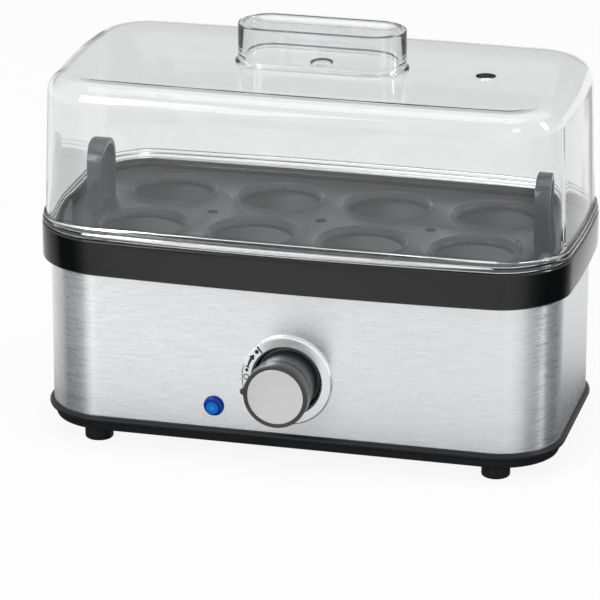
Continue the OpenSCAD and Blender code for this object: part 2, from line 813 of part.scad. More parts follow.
module arch_face(w, h, r) {
    polygon(concat(
        [[-w / 2, 0], [w / 2, 0]],
        [for (a = [0 : 10 : 90]) [w / 2 - r + r * cos(a), h - r + r * sin(a)]],
        [for (a = [90 : 10 : 180]) [-w / 2 + r + r * cos(a), h - r + r * sin(a)]]
    ));
}

module tray_handle_left() {
    color("#565b60") placed() tray_handle(-1);
}

module tray_handle_right() {
    color("#565b60") placed() tray_handle(1);
}

// ---------- Lid ----------
fillet_steps = 6;
flange_h = 4.8;

// Levels of the lid's wall above its flange and of its rounded top, drawn in by t
function lid_levels(t) = [
    for (i = [0 : fillet_steps])
        let (a = 90 * i / fillet_steps, r = lid_fillet - t)
        [lid_outline(t + lid_lean + r * (1 - cos(a))), z_top - t - r * (1 - sin(a))]
];

module lid_shell() {
    color([0.86, 0.88, 0.9, 0.35]) placed() difference() {
        skin(concat([
            [lid_outline(spigot_in), z_rim - spigot_h],
            [lid_outline(spigot_in), z_rim],
            [collar_outline(0.9), z_rim],
            [collar_outline(0.1), z_rim + 0.7],
            [collar_outline(0.1), z_rim + 1.6],
            [collar_outline(1), z_rim + 2.3],
            [collar_outline(0.7), z_rim + 2.8],
            [collar_outline(0.7), z_rim + 3.9],
            [collar_outline(1.3), z_rim + flange_h],
            [lid_outline(lid_lean * flange_h / lid_h), z_rim + flange_h]
        ], lid_levels(0)));
        skin(concat([[lid_outline(lid_t), z_rim - spigot_h - cut]], lid_levels(lid_t)));
        translate([steam_x, 0, z_top - lid_t - cut]) cylinder(d = steam_d, h = lid_t + 2 * cut);
    }
}

module lid_handle() {
    color([0.86, 0.88, 0.9, 0.35]) placed() difference() {
        union() {
            stadium(ring_l + 2.6, ring_w + 2.6, z_top, z_top + 1.2);
            stadium(ring_l, ring_w, z_top, z_top + ring_h);
        }
        stadium(ring_l - 2 * ring_t, ring_w - 2 * ring_t, z_top - cut, z_top + ring_h + cut);
    }
}

module stadium(l, w, z0, z1) {
    translate([0, 0, z0]) linear_extrude(z1 - z0) polygon(concat(
        [for (a = [-90 : 6 : 90]) [l / 2 - w / 2 + w / 2 * cos(a), w / 2 * sin(a)]],
        [for (a = [90 : 6 : 270]) [-l / 2 + w / 2 + w / 2 * cos(a), w / 2 * sin(a)]]
    ));
}

base_tray();
feet();
base_screws();
body_shell();
trim_band();
plate_seal();
water_dish();
heating_element();
clamp_bars();
heat_shield();
dish_nuts();
thermal_fuse();
fuse_clip();
thermostat();
thermostat_bracket();
bracket_screws();
dial_cup();
dial_bezel();
indicator_lens();
indicator_lamp();
lamp_nut();
cord_gland();
gland_nut();
terminal_block();
terminal_screws();
internal_leads();
thermostat_shaft();
control_knob();
knob_cap();
egg_tray();
tray_handle_left();
tray_handle_right();
lid_shell();
lid_handle();
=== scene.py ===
# %% [markdown]
# # An eight-egg cooker
# An electric egg cooker: a brushed steel housing on a black base, a polished black collar,
# a grey egg tray, a clear lid and one dial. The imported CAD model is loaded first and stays
# the frame: every piece made here sits where its solid sits and rides on the same moving
# body, so the lid still lifts and the dial still turns.

# %% Load the frame
import math

import bmesh
import bpy
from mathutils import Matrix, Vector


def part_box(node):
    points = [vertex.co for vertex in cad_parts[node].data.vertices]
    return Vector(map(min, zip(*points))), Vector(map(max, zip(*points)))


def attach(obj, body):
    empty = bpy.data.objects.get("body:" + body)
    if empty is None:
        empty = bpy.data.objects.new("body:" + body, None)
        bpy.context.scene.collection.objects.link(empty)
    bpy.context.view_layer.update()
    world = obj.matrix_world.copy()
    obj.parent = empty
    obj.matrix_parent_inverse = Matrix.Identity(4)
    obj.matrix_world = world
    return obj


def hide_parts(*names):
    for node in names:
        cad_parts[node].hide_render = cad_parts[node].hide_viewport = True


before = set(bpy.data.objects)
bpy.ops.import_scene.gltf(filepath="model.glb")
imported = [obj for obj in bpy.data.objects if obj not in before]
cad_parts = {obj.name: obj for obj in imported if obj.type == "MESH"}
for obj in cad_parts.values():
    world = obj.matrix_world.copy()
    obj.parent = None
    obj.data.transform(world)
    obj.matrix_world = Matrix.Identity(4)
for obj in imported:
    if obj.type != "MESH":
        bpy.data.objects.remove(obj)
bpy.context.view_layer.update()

MM = 0.001

# %% [markdown]
# ## Sizes
# The frame gives the places: most values below are read from the box of a solid. What a
# box can't tell, such as a corner radius or how far a side bows out, is a named size in
# millimetres. Outlines are laid out round the housing's middle, which isn't the origin,
# because the dial makes the whole part reach further to the front.

# %% Sizes in millimetres
def box_mm(node):
    """Low and high corner of a solid's box, in mm."""
    low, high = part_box(node)
    return [v / MM for v in low], [v / MM for v in high]


def round_mm(node):
    """Middle x, middle z and radius of a round solid that faces the front."""
    low, high = box_mm(node)
    return (low[0] + high[0]) / 2, (low[2] + high[2]) / 2, (high[0] - low[0]) / 2


shell_low, shell_high = box_mm("body_shell")
band_low, band_high = box_mm("trim_band")
MIDDLE_Y = (shell_low[1] + shell_high[1]) / 2
SHELL_L = shell_high[0] - shell_low[0]
SHELL_D = shell_high[1] - shell_low[1]
FRONT_Y = -SHELL_D / 2
CORNER_R = 28.2
BAND_BOW = (3.1, 4.9)          # how far the ends and the long sides bow out
BAND_L = band_high[0] - band_low[0] - 2 * BAND_BOW[0]
BAND_D = band_high[1] - band_low[1] - 2 * BAND_BOW[1]
BAND_TOP = band_high[2]
SEAM = 0.05                    # air between two pieces that touch
LID_BOW = (3.7, 2.0)
LID_IN = (2.45, 1.35)          # how far the lid stands in from the collar's edge
LID_L, LID_D = BAND_L - 2 * LID_IN[0], BAND_D - 2 * LID_IN[1]
LID_R = CORNER_R - 3.4
SEAT_Z = box_mm("egg_tray")[0][2]          # where the tray rests on the dish
print("housing:", round(SHELL_L, 1), "x", round(SHELL_D, 1), "at y", round(MIDDLE_Y, 3))

# %% [markdown]
# ## The camera
# A long lens a little to the right of the front and 20 degrees above the table, as small
# appliances are often shown. The lens is shifted a little, which moves the object in the
# frame without turning the camera. A new object shows only once it is linked to the scene,
# so one helper makes and links it.

# %% Camera
def add_object(name, data):
    """A new object, linked to the scene."""
    obj = bpy.data.objects.new(name, data)
    bpy.context.scene.collection.objects.link(obj)
    return obj


TILT_DOWN, TURN_LEFT = 0.3449259, 0.2531543          # in radians
camera = add_object("Camera", bpy.data.cameras.new("Camera"))
camera.location = (0.40386, -1.62949, 0.67060)
camera.rotation_euler = (math.pi / 2 - TILT_DOWN, 0, TURN_LEFT)
camera.data.sensor_width = 36
camera.data.lens = 235.02
camera.data.shift_x = 0.03353
camera.data.shift_y = -0.0253
bpy.context.scene.camera = camera
print("camera:", tuple(round(v, 3) for v in camera.location))

# %% [markdown]
# ## Colours and nodes
# Colours are written as sRGB hex values, as paint charts and screens give them, and one
# function turns them into the linear values that shaders need. One more function adds a
# node to any tree, sets it, links it and returns its outputs, so a tree reads from top to
# bottom.

# %% Colour and node helpers
def colour(hex_code):
    """Linear RGBA of an sRGB hex value."""
    parts = [int(hex_code[i:i + 2], 16) / 255 for i in (1, 3, 5)]
    return (*[c / 12.92 if c <= 0.04045 else ((c + 0.055) / 1.055) ** 2.4 for c in parts], 1)


def add_node(tree, kind, inputs=None, **settings):
    """Adds a node and returns its outputs. An input gets a value, or the output that feeds it."""
    node = tree.nodes.new(kind)
    for name, value in settings.items():
        setattr(node, name, value)
    for key, value in (inputs or {}).items():
        if isinstance(value, bpy.types.NodeSocket):
            tree.links.new(value, node.inputs[key])
        else:
            node.inputs[key].default_value = value
    return node.outputs


def new_material(name, **surface):
    """A material, its tree and its Principled shader, which gets the plain values."""
    material = bpy.data.materials.new(name)
    material.use_nodes = True
    shader = material.node_tree.nodes["Principled BSDF"]
    for key, value in surface.items():
        shader.inputs[key.replace("_", " ")].default_value = value
    return material, material.node_tree, shader


print("mid grey #808080 is", round(colour("#808080")[0], 3), "in linear light")

# %% [markdown]
# ## Moulded plastic and rubber
# The base, knob and gland are satin ABS from a finely etched mould, the collar is ABS from
# a polished one, the tray is polypropylene and the feet are rubber. Such a piece is dyed one
# colour all through, and a flat colour would look like a drawing. The etched grain, and a
# slow cloud in tone and gloss, prevent that. Both are noise on Object coordinates, with
# their widths given in millimetres. Metals share the last step, so it is a helper.

# %% Moulded finishes
CLOUD_MM = 30


def dress(tree, shader, share, tones, wear, wear_span, roughness, relief, relief_mm):
    """Blends two tones by a share, spreads the gloss by the wear, and adds a fine relief."""
    mix = add_node(tree, "ShaderNodeMix", {
        0: share, 6: colour(tones[0]), 7: colour(tones[1])}, data_type="RGBA")
    gloss = add_node(tree, "ShaderNodeMapRange", {
        "Value": wear, "From Min": wear_span[0], "From Max": wear_span[1],
        "To Min": roughness * 0.85, "To Max": roughness * 1.15})
    bump = add_node(tree, "ShaderNodeBump", {"Height": relief, "Distance": relief_mm * MM})
    tree.links.new(mix[2], shader.inputs["Base Color"])
    tree.links.new(gloss["Result"], shader.inputs["Roughness"])
    tree.links.new(bump["Normal"], shader.inputs["Normal"])


def moulded(name, light, dark, roughness, grain_mm=0.6, grain_height_mm=0.01, **surface):
    """Plastic or rubber with the grain of its mould and a slow cloud in tone and gloss."""
    material, tree, shader = new_material(name, **surface)
    place = add_node(tree, "ShaderNodeTexCoord")["Object"]
    grain = add_node(tree, "ShaderNodeTexNoise", {
        "Vector": place, "Scale": 1 / (grain_mm * MM), "Detail": 2})["Fac"]
    cloud = add_node(tree, "ShaderNodeTexNoise", {
        "Vector": place, "Scale": 1 / (CLOUD_MM * MM), "Detail": 3})["Fac"]
    dress(tree, shader, cloud, (dark, light), cloud, (0.3, 0.7), roughness,
          grain, grain_height_mm)
    return material


base_abs = moulded("Satin black ABS", "#1b1c1e", "#161719", 0.36, IOR=1.46,
                    Specular_IOR_Level=0.28)
collar_abs = moulded("Polished black ABS", "#0b0c0d", "#090a0b", 0.07, 40, 0.002, IOR=1.5)
knob_abs = moulded("Satin charcoal ABS", "#2b2d2f", "#26282a", 0.28, 0.8, IOR=1.54)
cup_abs = moulded("Matt black ABS", "#161718", "#111213", 0.5)
foot_rubber = moulded("Moulded black rubber", "#191a1c", "#131415", 0.7, 0.9, 0.03, IOR=1.4,
                      Specular_IOR_Level=0.4)
# The tray's grey is darker than the plastic's own colour: painted shade, standing in for the
# shadow of eggs that aren't there.
painted_shade_tray_pp = moulded("Grey polypropylene", "#2b2f33", "#272b2f", 0.32, 0.8, 0.008, IOR=1.46,
                   Specular_IOR_Level=0.35)
arch_pp = moulded("Glossy grey polypropylene", "#3d4348", "#393f44", 0.14, 0.8, 0.003, IOR=1.52)
nylon = moulded("Natural nylon", "#ece9df", "#e2dfd3", 0.45, IOR=1.53)
lead_silicone = moulded("Silicone lead insulation", "#9a958a", "#8a857b", 0.55)
seal_silicone = moulded("Red silicone", "#bd4d33", "#ad442c", 0.5)
steatite = moulded("Steatite ceramic", "#e2ddd1", "#d5cfc2", 0.4, 1.2, 0.02, IOR=1.6)
print("moulded finishes:", [m.name for m in (
    base_abs, collar_abs, knob_abs, cup_abs, foot_rubber, painted_shade_tray_pp, arch_pp, nylon,
    lead_silicone, seal_silicone, steatite)])

# %% [markdown]
# ## Brushed and plain metal
# The housing is stainless steel sheet, brushed along its length before it was rolled. The
# belt leaves scratches some centimetres long and a few hundredths of a millimetre wide.
# They are drawn half a millimetre wide here, because finer ones wouldn't show. The noise
# is stretched along x and y at once, so the lines also follow the rolled corners. The
# lines carry a faint change in colour, roughness and height. Finer scratches than these
# smear every reflection across the lines, which is what Anisotropic is for: a Tangent node
# runs round the upright axis, and a quarter turn puts the smear up and down.

# %% Metal finishes
def brushed(name, light, dark, roughness, line_mm=0.5, length_mm=30, height_mm=0.004,
            lines_along=(1, 1, 0), smear=0.0, axis="Z", metallic=1.0):
    """Metal with lines along the axes marked 1, and a smear across lines round an axis."""
    material, tree, shader = new_material(
        name, Metallic=metallic, Anisotropic=smear, Anisotropic_Rotation=0.25)
    if smear:
        round_axis = add_node(tree, "ShaderNodeTangent", direction_type="RADIAL", axis=axis)
        tree.links.new(round_axis["Tangent"], shader.inputs["Tangent"])
    scale = [1 / ((length_mm if along else line_mm) * MM) for along in lines_along]
    place = add_node(tree, "ShaderNodeTexCoord")["Object"]
    stretched = add_node(tree, "ShaderNodeMapping", {"Vector": place, "Scale": scale})["Vector"]
    lines = add_node(tree, "ShaderNodeTexNoise", {
        "Vector": stretched, "Scale": 1.0, "Detail": 4, "Roughness": 0.7})["Fac"]
    cloud = add_node(tree, "ShaderNodeTexNoise", {
        "Vector": place, "Scale": 1 / (2 * CLOUD_MM * MM), "Detail": 2})["Fac"]
    shown = add_node(tree, "ShaderNodeMapRange", {
        "Value": lines, "From Min": 0.3, "From Max": 0.7})["Result"]
    wear = add_node(tree, "ShaderNodeMath", {0: shown, 1: cloud}, operation="ADD")["Value"]
    dress(tree, shader, shown, (dark, light), wear, (0.4, 1.6), roughness, lines, height_mm)
    return material


sleeve_steel = brushed("Brushed stainless steel", "#f3f5f7", "#e1e3e5", 0.28, 0.55, 9, 0.003,
                       smear=0.9)
ring_metal = brushed("Silver lacquered ring", "#f6f7f8", "#eceeef", 0.16, 0.4, 8, 0.001,
                     (0, 0, 0), smear=0.3, axis="Y", metallic=0.85)
cap_metal = brushed("Brushed aluminium disc", "#dcdcdc", "#d4d4d4", 0.34, 0.35, 12)
zinc_steel = brushed("Zinc-plated steel", "#b0b2b4", "#9c9ea1", 0.35, 0.6, 6)
shield_steel = brushed("Aluminised steel", "#c8cacb", "#bcbec0", 0.32, 0.8, 20)
sheath_steel = brushed("Heater sheath, dulled by heat", "#6b625c", "#4a443f", 0.5, 2, 5)
brass = brushed("Brass", "#d3bb74", "#bfa65c", 0.3, 0.5, 3)
print("metals:", [m.name for m in (sleeve_steel, ring_metal, cap_metal, zinc_steel,
                                   shield_steel, sheath_steel, brass)])

# %% [markdown]
# ## Clear plastic
# The lid is clear SAN, a hard plastic with a slight grey cast. A wall has two faces and
# each bends the light, so the piece needs real walls and one refracting shader. Lamps
# can't shine through a refracting shader in a path tracer, so rays towards lamps and
# diffuse rays meet a plain tinted Transparent shader instead. A very slow bump stands for
# the slight waviness of a large moulding.

# %% Clear finish
def clear_plastic(name, tint, roughness=0.012):
    material, tree, glass = new_material(
        name, Transmission_Weight=1.0, IOR=1.57, Base_Color=colour(tint))
    place = add_node(tree, "ShaderNodeTexCoord")["Object"]
    waves = add_node(tree, "ShaderNodeTexNoise", {
        "Vector": place, "Scale": 1 / (45 * MM), "Detail": 1})
    bump = add_node(tree, "ShaderNodeBump", {
        "Height": waves["Fac"], "Distance": 0.12 * MM})
    haze = add_node(tree, "ShaderNodeMapRange", {
        "Value": waves["Fac"], "From Min": 0.3, "From Max": 0.7,
        "To Min": roughness * 0.5, "To Max": roughness * 1.5})
    tree.links.new(bump["Normal"], glass.inputs["Normal"])
    tree.links.new(haze["Result"], glass.inputs["Roughness"])
    path = add_node(tree, "ShaderNodeLightPath")
    through = add_node(tree, "ShaderNodeBsdfTransparent", {"Color": colour(tint)})
    soft = add_node(tree, "ShaderNodeMixShader", {
        0: path["Is Diffuse Ray"], 1: glass.outputs["BSDF"], 2: through["BSDF"]})
    lit = add_node(tree, "ShaderNodeMixShader", {
        0: path["Is Shadow Ray"], 1: soft["Shader"], 2: through["BSDF"]})
    tree.links.new(lit["Shader"], tree.nodes["Material Output"].inputs["Surface"])
    return material


clear_san = clear_plastic("Clear SAN", "#f7f8f8")
print("clear finish:", clear_san.name)

# %% [markdown]
# ## Blue acrylic
# The pilot lamp's lens is blue acrylic. Its middle is painted paler, a painted glow that stands
# for the lamp behind it, and fine rings like those of its back make that painted glow uneven.
# Both follow the distance from the middle, measured on Object coordinates: a smooth fall for the
# painted glow, and a sine for the rings.

# %% Lens finish
LENS_X, LENS_Z, LENS_R = round_mm("indicator_lens")
PAINTED_GLOW_X, PAINTED_GLOW_Z, PAINTED_GLOW_R = LENS_X - 0.6, LENS_Z - 0.8, 4.2
RIPPLE_MM = 0.32               # a radian of the sine, so the rings lie 2 mm apart
blue_acrylic, tree, shader = new_material(
    "Blue acrylic", Roughness=0.08, IOR=1.49, Specular_IOR_Level=0.2)
centred = add_node(tree, "ShaderNodeMapping", {
    "Vector": add_node(tree, "ShaderNodeTexCoord")["Object"],
    "Location": (-PAINTED_GLOW_X * MM, 0, -PAINTED_GLOW_Z * MM)})["Vector"]
flat = add_node(tree, "ShaderNodeVectorMath", {0: centred, 1: (1, 0, 1)}, operation="MULTIPLY")
distance = add_node(tree, "ShaderNodeVectorMath", {0: flat[0]}, operation="LENGTH")["Value"]
# Painted glow: paler in the middle of the lens, not light from a lamp.
painted_glow = add_node(tree, "ShaderNodeMapRange", {
    "Value": distance, "From Min": 0, "From Max": PAINTED_GLOW_R * MM,
    "To Min": 1, "To Max": 0}, interpolation_type="SMOOTHSTEP")["Result"]
phase = add_node(tree, "ShaderNodeMath", {
    0: distance, 1: 1 / (RIPPLE_MM * MM)}, operation="MULTIPLY")
rings = add_node(tree, "ShaderNodeMath", {0: phase[0]}, operation="SINE")
painted_glow_share = add_node(tree, "ShaderNodeMath", {
    0: rings[0], 1: 0.22, 2: painted_glow}, operation="MULTIPLY_ADD")
# The base colour turns from deep blue to pale blue where the glow is painted in.
mix = add_node(tree, "ShaderNodeMix", {
    0: painted_glow_share[0], 6: colour("#00207c"), 7: colour("#007fd0")}, data_type="RGBA")
tree.links.new(mix[2], shader.inputs["Base Color"])
print("lens finish:", blue_acrylic.name)

# %% [markdown]
# ## Coating and ink
# The dish has a speckled non-stick coating. The specks are the middles of Voronoi cells,
# 1.6 mm wide, and a finer noise varies the gloss. The dial's marks are printed in black ink.

# %% Coating and ink
coating, tree, shader = new_material("Speckled non-stick coating", IOR=1.45)
place = add_node(tree, "ShaderNodeTexCoord")["Object"]
cells = add_node(tree, "ShaderNodeTexVoronoi", {"Vector": place, "Scale": 1 / (1.6 * MM)})
speck = add_node(tree, "ShaderNodeMapRange", {
    "Value": cells["Distance"], "From Min": 0.12, "From Max": 0.2, "To Min": 1, "To Max": 0})
mix = add_node(tree, "ShaderNodeMix", {
    0: speck["Result"], 6: colour("#6b6e71"), 7: colour("#8b8e91")}, data_type="RGBA")
grain = add_node(tree, "ShaderNodeTexNoise", {"Vector": place, "Scale": 1 / (0.7 * MM)})
gloss = add_node(tree, "ShaderNodeMapRange", {
    "Value": grain["Fac"], "To Min": 0.35, "To Max": 0.5})
tree.links.new(mix[2], shader.inputs["Base Color"])
tree.links.new(gloss["Result"], shader.inputs["Roughness"])

ink = moulded("Black pad-printing ink", "#1b1c1e", "#161718", 0.5, 0.5, 0.002)
print("coating and ink:", coating.name, "and", ink.name)

# %% [markdown]
# ## Outlines
# The housing is a rounded rectangle. The collar and lid are rounded rectangles whose sides
# bow out a little. They could be drawn as curves, but a formula gives the same number of
# points at every inset, so any two outlines can be joined by plain quads.

# %% Outline formula
def polar(radius, angle):
    """Point (x, y) at a radius and an angle in degrees."""
    a = math.radians(angle)
    return radius * math.cos(a), radius * math.sin(a)


def outline(length, depth, radius, bow=(0, 0), corner_steps=16, side_steps=16):
    """Points (x, y) in mm, counter-clockwise from the right end of the back corner."""
    points = []
    half_x, half_y = length / 2, depth / 2
    for corner in range(4):
        sx = 1 if corner in (0, 3) else -1
        sy = 1 if corner < 2 else -1
        for step in range(corner_steps + 1):
            x, y = polar(radius, 90 * (corner + step / corner_steps))
            points.append((sx * (half_x - radius) + x, sy * (half_y - radius) + y))
        for step in range(1, side_steps):
            t = sy * (1 - 2 * step / side_steps)
            if corner % 2 == 0:
                points.append((t * (half_x - radius), sy * half_y))
            else:
                points.append((-sy * half_x, t * (half_y - radius)))
    return [(x * (1 + bow[0] / half_x * (1 - (y / half_y) ** 2)),
             y * (1 + bow[1] / half_y * (1 - (x / half_x) ** 2))) for x, y in points]


def shell_line(inset):
    return outline(SHELL_L - 2 * inset, SHELL_D - 2 * inset, CORNER_R - inset)


def band_line(inset):
    return outline(BAND_L - 2 * inset, BAND_D - 2 * inset, CORNER_R - inset, BAND_BOW)


def lid_line(inset):
    return outline(LID_L - 2 * inset, LID_D - 2 * inset, max(LID_R - inset, 2), LID_BOW)


print("points in an outline:", len(lid_line(0)))

# %% [markdown]
# ## From points to a mesh
# Every mesh is cleaned in the same way: points that coincide are merged, the faces are
# turned outwards, and smooth shading breaks where faces meet at more than 35 degrees.
# Rounded edges are drawn as short arcs, and one helper gives their points.

# %% Mesh helpers
def shade(mesh, angle=35):
    """Smooth shading, broken where faces meet at more than an angle in degrees."""
    mesh.polygons.foreach_set("use_smooth", [True] * len(mesh.polygons))
    mesh.set_sharp_from_angle(angle=math.radians(angle))


def tidy(mesh):
    """Merges points that coincide and turns all faces outwards."""
    bm = bmesh.new()
    bm.from_mesh(mesh)
    bmesh.ops.remove_doubles(bm, verts=bm.verts, dist=1e-6)
    bmesh.ops.recalc_face_normals(bm, faces=bm.faces)
    bm.to_mesh(mesh)
    bm.free()
    shade(mesh)


def new_object(name, verts, faces):
    """Object from points in mm round the housing's middle."""
    mesh = bpy.data.meshes.new(name)
    mesh.from_pydata([(x * MM, (y + MIDDLE_Y) * MM, z * MM) for x, y, z in verts], [], faces)
    tidy(mesh)
    return add_object(name, mesh)


def arc(centre_x, centre_y, radius, start, end, steps=6):
    """Points of an arc between two angles in degrees."""
    turned = [polar(radius, start + (end - start) * i / steps) for i in range(steps + 1)]
    return [(centre_x + x, centre_y + y) for x, y in turned]


print("points in an arc of six steps:", len(arc(0, 0, 1, 0, 90)))

# %% [markdown]
# ## Closed forms from outlines and profiles
# A loft joins outlines that lie at different heights. A lathe turns a profile round an
# axis. Both give quads that follow the form, which shade better than the triangles of
# the solids, and both give closed meshes.

# %% Loft and lathe
def loft(name, levels, loop=False):
    """Closed form through levels of (outline, z). A loop joins the last to the first."""
    count = len(levels[0][0])
    verts = [(x, y, z) for points, z in levels for x, y in points]
    faces = []
    for i in range(len(levels) if loop else len(levels) - 1):
        low, high = i * count, (i + 1) % len(levels) * count
        for k in range(count):
            k2 = (k + 1) % count
            faces.append((low + k, low + k2, high + k2, high + k))
    if not loop:
        faces.append(tuple(reversed(range(count))))
        faces.append(tuple(range((len(levels) - 1) * count, len(levels) * count)))
    return new_object(name, verts, faces)


def lathe(name, profile, place=(0, 0, 0), upright=False, loop=False, steps=96):
    """Profile of (radius, height) turned round an axis that points to the front, or up."""
    verts, faces, rings = [], [], []
    for radius, height in profile:
        ring = []
        for k in range(1 if radius < 1e-6 else steps):
            u, v = polar(radius, 360 * k / steps)
            turned = (u, v, height) if upright else (u, -height, v)
            ring.append(len(verts))
            verts.append([p + q for p, q in zip(place, turned)])
        rings.append(ring)
    for a, b in zip(rings, rings[1:] + (rings[:1] if loop else [])):
        for k in range(steps):
            k2 = (k + 1) % steps
            quad = (a[k % len(a)], a[k2 % len(a)], b[k2 % len(b)], b[k % len(b)])
            faces.append(tuple(dict.fromkeys(quad)))
    return new_object(name, verts, faces)


print("loft and lathe ready")

# %% [markdown]
# ## Booleans and the hand-over of a piece
# A boolean modifier joins or cuts pieces as moulding and punching do. It is applied by
# taking the mesh of the evaluated object, so each piece ends as a plain mesh. A finished
# piece is then told its material, the body that it rides on, and the solids it stands for.

# %% Booleans and hand-over
def apply_modifiers(obj):
    bpy.context.view_layer.update()
    depsgraph = bpy.context.evaluated_depsgraph_get()
    made = bpy.data.meshes.new_from_object(obj.evaluated_get(depsgraph))
    obj.modifiers.clear()
    obj.data = made
    shade(made)


def combine(obj, operation, *others):
    """Joins others to obj, or cuts them out of it, and deletes them."""
    for other in others:
        tool = obj.modifiers.new("combine", "BOOLEAN")
        tool.operation = operation
        tool.solver = "EXACT"
        tool.object = other
        apply_modifiers(obj)
        bpy.data.objects.remove(other)
    return obj


def finish_piece(obj, body, slot, material, *nodes):
    """Gives a piece its material, its body and the solids that it stands for. The slot is not
    used.
    """
    obj.data.materials.clear()
    obj.data.materials.append(material)
    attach(obj, body)
    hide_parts(*nodes)
    print(f"{obj.name}: {len(obj.data.polygons)} faces on {body}")


print("piece helpers ready")

# %% [markdown]
# ## Geometry Nodes helpers
# Three things in this object follow a rule: a wall that runs round an outline, a strap
# along a bent path, and a piece that is repeated on a grid. Each rule is a small tree of
# its own. The helper that runs a tree finds each input by its name, sets the modifier by
# the input's identifier, and turns the result into a plain mesh.

# %% Run a tree
def new_tree(name, inputs):
    """A tree with a geometry input and more inputs, given as {name: socket type}."""
    tree = bpy.data.node_groups.new(name, "GeometryNodeTree")
    tree.interface.new_socket("Geometry", in_out="OUTPUT", socket_type="NodeSocketGeometry")
    for label, kind in {"Geometry": "Geometry", **inputs, "Material": "Material"}.items():
        tree.interface.new_socket(label, in_out="INPUT", socket_type="NodeSocket" + kind)
    return tree, add_node(tree, "NodeGroupInput")


def end_tree(tree, geometry, material):
    """Every tree ends by making its instances real and giving them the material."""
    real = add_node(tree, "GeometryNodeRealizeInstances", {"Geometry": geometry})
    painted = add_node(tree, "GeometryNodeSetMaterial", {
        "Geometry": real[0], "Material": material})
    add_node(tree, "NodeGroupOutput", {"Geometry": painted[0]})


def run_tree(name, tree, start, values):
    """Runs a tree on the mesh start and returns the result as a plain mesh object."""
    obj = add_object(name, start)
    modifier = obj.modifiers.new(tree.name, "NODES")
    modifier.node_group = tree
    for item in tree.interface.items_tree:
        if item.in_out == "INPUT" and item.name in values:
            modifier[item.identifier] = values[item.name]
    apply_modifiers(obj)
    tidy(obj.data)
    return obj


def edge_mesh(points, closed=True):
    """A mesh of edges only, from points in mm, for a section or a path."""
    mesh = bpy.data.meshes.new("edges")
    count = len(points)
    edges = [(i, (i + 1) % count) for i in range(count if closed else count - 1)]
    mesh.from_pydata([[v * MM for v in p] for p in points], edges, [])
    return mesh


print("tree helpers ready")

# %% [markdown]
# ## Rule 1: a wall round an outline
# The tree draws a rounded rectangle, moves its points outwards by the bow formula, and
# sweeps a section along it. Curve to Mesh lays the section's x along the curve's normal,
# which Z Up mode keeps level and outward, and its y downwards.

# %% Tree: wall round an outline
wall_tree, given = new_tree("Wall round an outline", {
    "Length": "Float", "Depth": "Float", "Corner radius": "Float", "Bows": "Vector",
    "Point spacing": "Float", "Middle": "Vector"})
rectangle = add_node(wall_tree, "GeometryNodeCurvePrimitiveQuadrilateral", {
    "Width": given["Length"], "Height": given["Depth"]})
rounded = add_node(wall_tree, "GeometryNodeFilletCurve", {
    "Curve": rectangle[0], "Radius": given["Corner radius"], "Count": 64}, mode="POLY")
spaced = add_node(wall_tree, "GeometryNodeResampleCurve", {
    "Curve": rounded[0], "Length": given["Point spacing"]}, mode="LENGTH")
place = add_node(wall_tree, "GeometryNodeInputPosition")[0]
split = add_node(wall_tree, "ShaderNodeSeparateXYZ", {0: place})
crossed = add_node(wall_tree, "ShaderNodeCombineXYZ", {"X": split["Y"], "Y": split["X"]})
size = add_node(wall_tree, "ShaderNodeCombineXYZ", {
    "X": given["Length"], "Y": given["Depth"], "Z": 1.0})
crossed_size = add_node(wall_tree, "ShaderNodeCombineXYZ", {
    "X": given["Depth"], "Y": given["Length"], "Z": 1.0})
share = add_node(wall_tree, "ShaderNodeVectorMath", {
    0: crossed[0], 1: crossed_size[0]}, operation="DIVIDE")
square = add_node(wall_tree, "ShaderNodeVectorMath", {
    0: share[0], 1: share[0]}, operation="MULTIPLY")
bulge = add_node(wall_tree, "ShaderNodeVectorMath", {
    0: square[0], 1: (-4, -4, 0), 2: (1, 1, 0)}, operation="MULTIPLY_ADD")
bow = add_node(wall_tree, "ShaderNodeVectorMath", {
    0: given["Bows"], 1: size[0]}, operation="DIVIDE")
factor = add_node(wall_tree, "ShaderNodeVectorMath", {
    0: bulge[0], 1: bow[0]}, operation="MULTIPLY")
grown = add_node(wall_tree, "ShaderNodeVectorMath", {
    0: factor[0], 1: (2, 2, 0), 2: (1, 1, 1)}, operation="MULTIPLY_ADD")
moved = add_node(wall_tree, "ShaderNodeVectorMath", {
    0: place, 1: grown[0]}, operation="MULTIPLY")
bowed = add_node(wall_tree, "GeometryNodeSetPosition", {
    "Geometry": spaced[0], "Position": moved[0]})
level = add_node(wall_tree, "GeometryNodeSetCurveNormal", {
    "Curve": bowed[0]}, mode="Z_UP")
section = add_node(wall_tree, "GeometryNodeMeshToCurve", {"Mesh": given["Geometry"]})
wall = add_node(wall_tree, "GeometryNodeCurveToMesh", {
    "Curve": level[0], "Profile Curve": section[0]})
placed = add_node(wall_tree, "GeometryNodeTransform", {
    "Geometry": wall[0], "Translation": given["Middle"]})
end_tree(wall_tree, placed[0], given["Material"])
MIDDLE = (0, MIDDLE_Y * MM, 0)
print(wall_tree.name, "has", len(wall_tree.nodes), "nodes")

# %% [markdown]
# ## Rule 2: a strap along a path
# The tree rounds the corners of a path of a few points and sweeps a flat section with
# softened edges along it, closed at its ends.

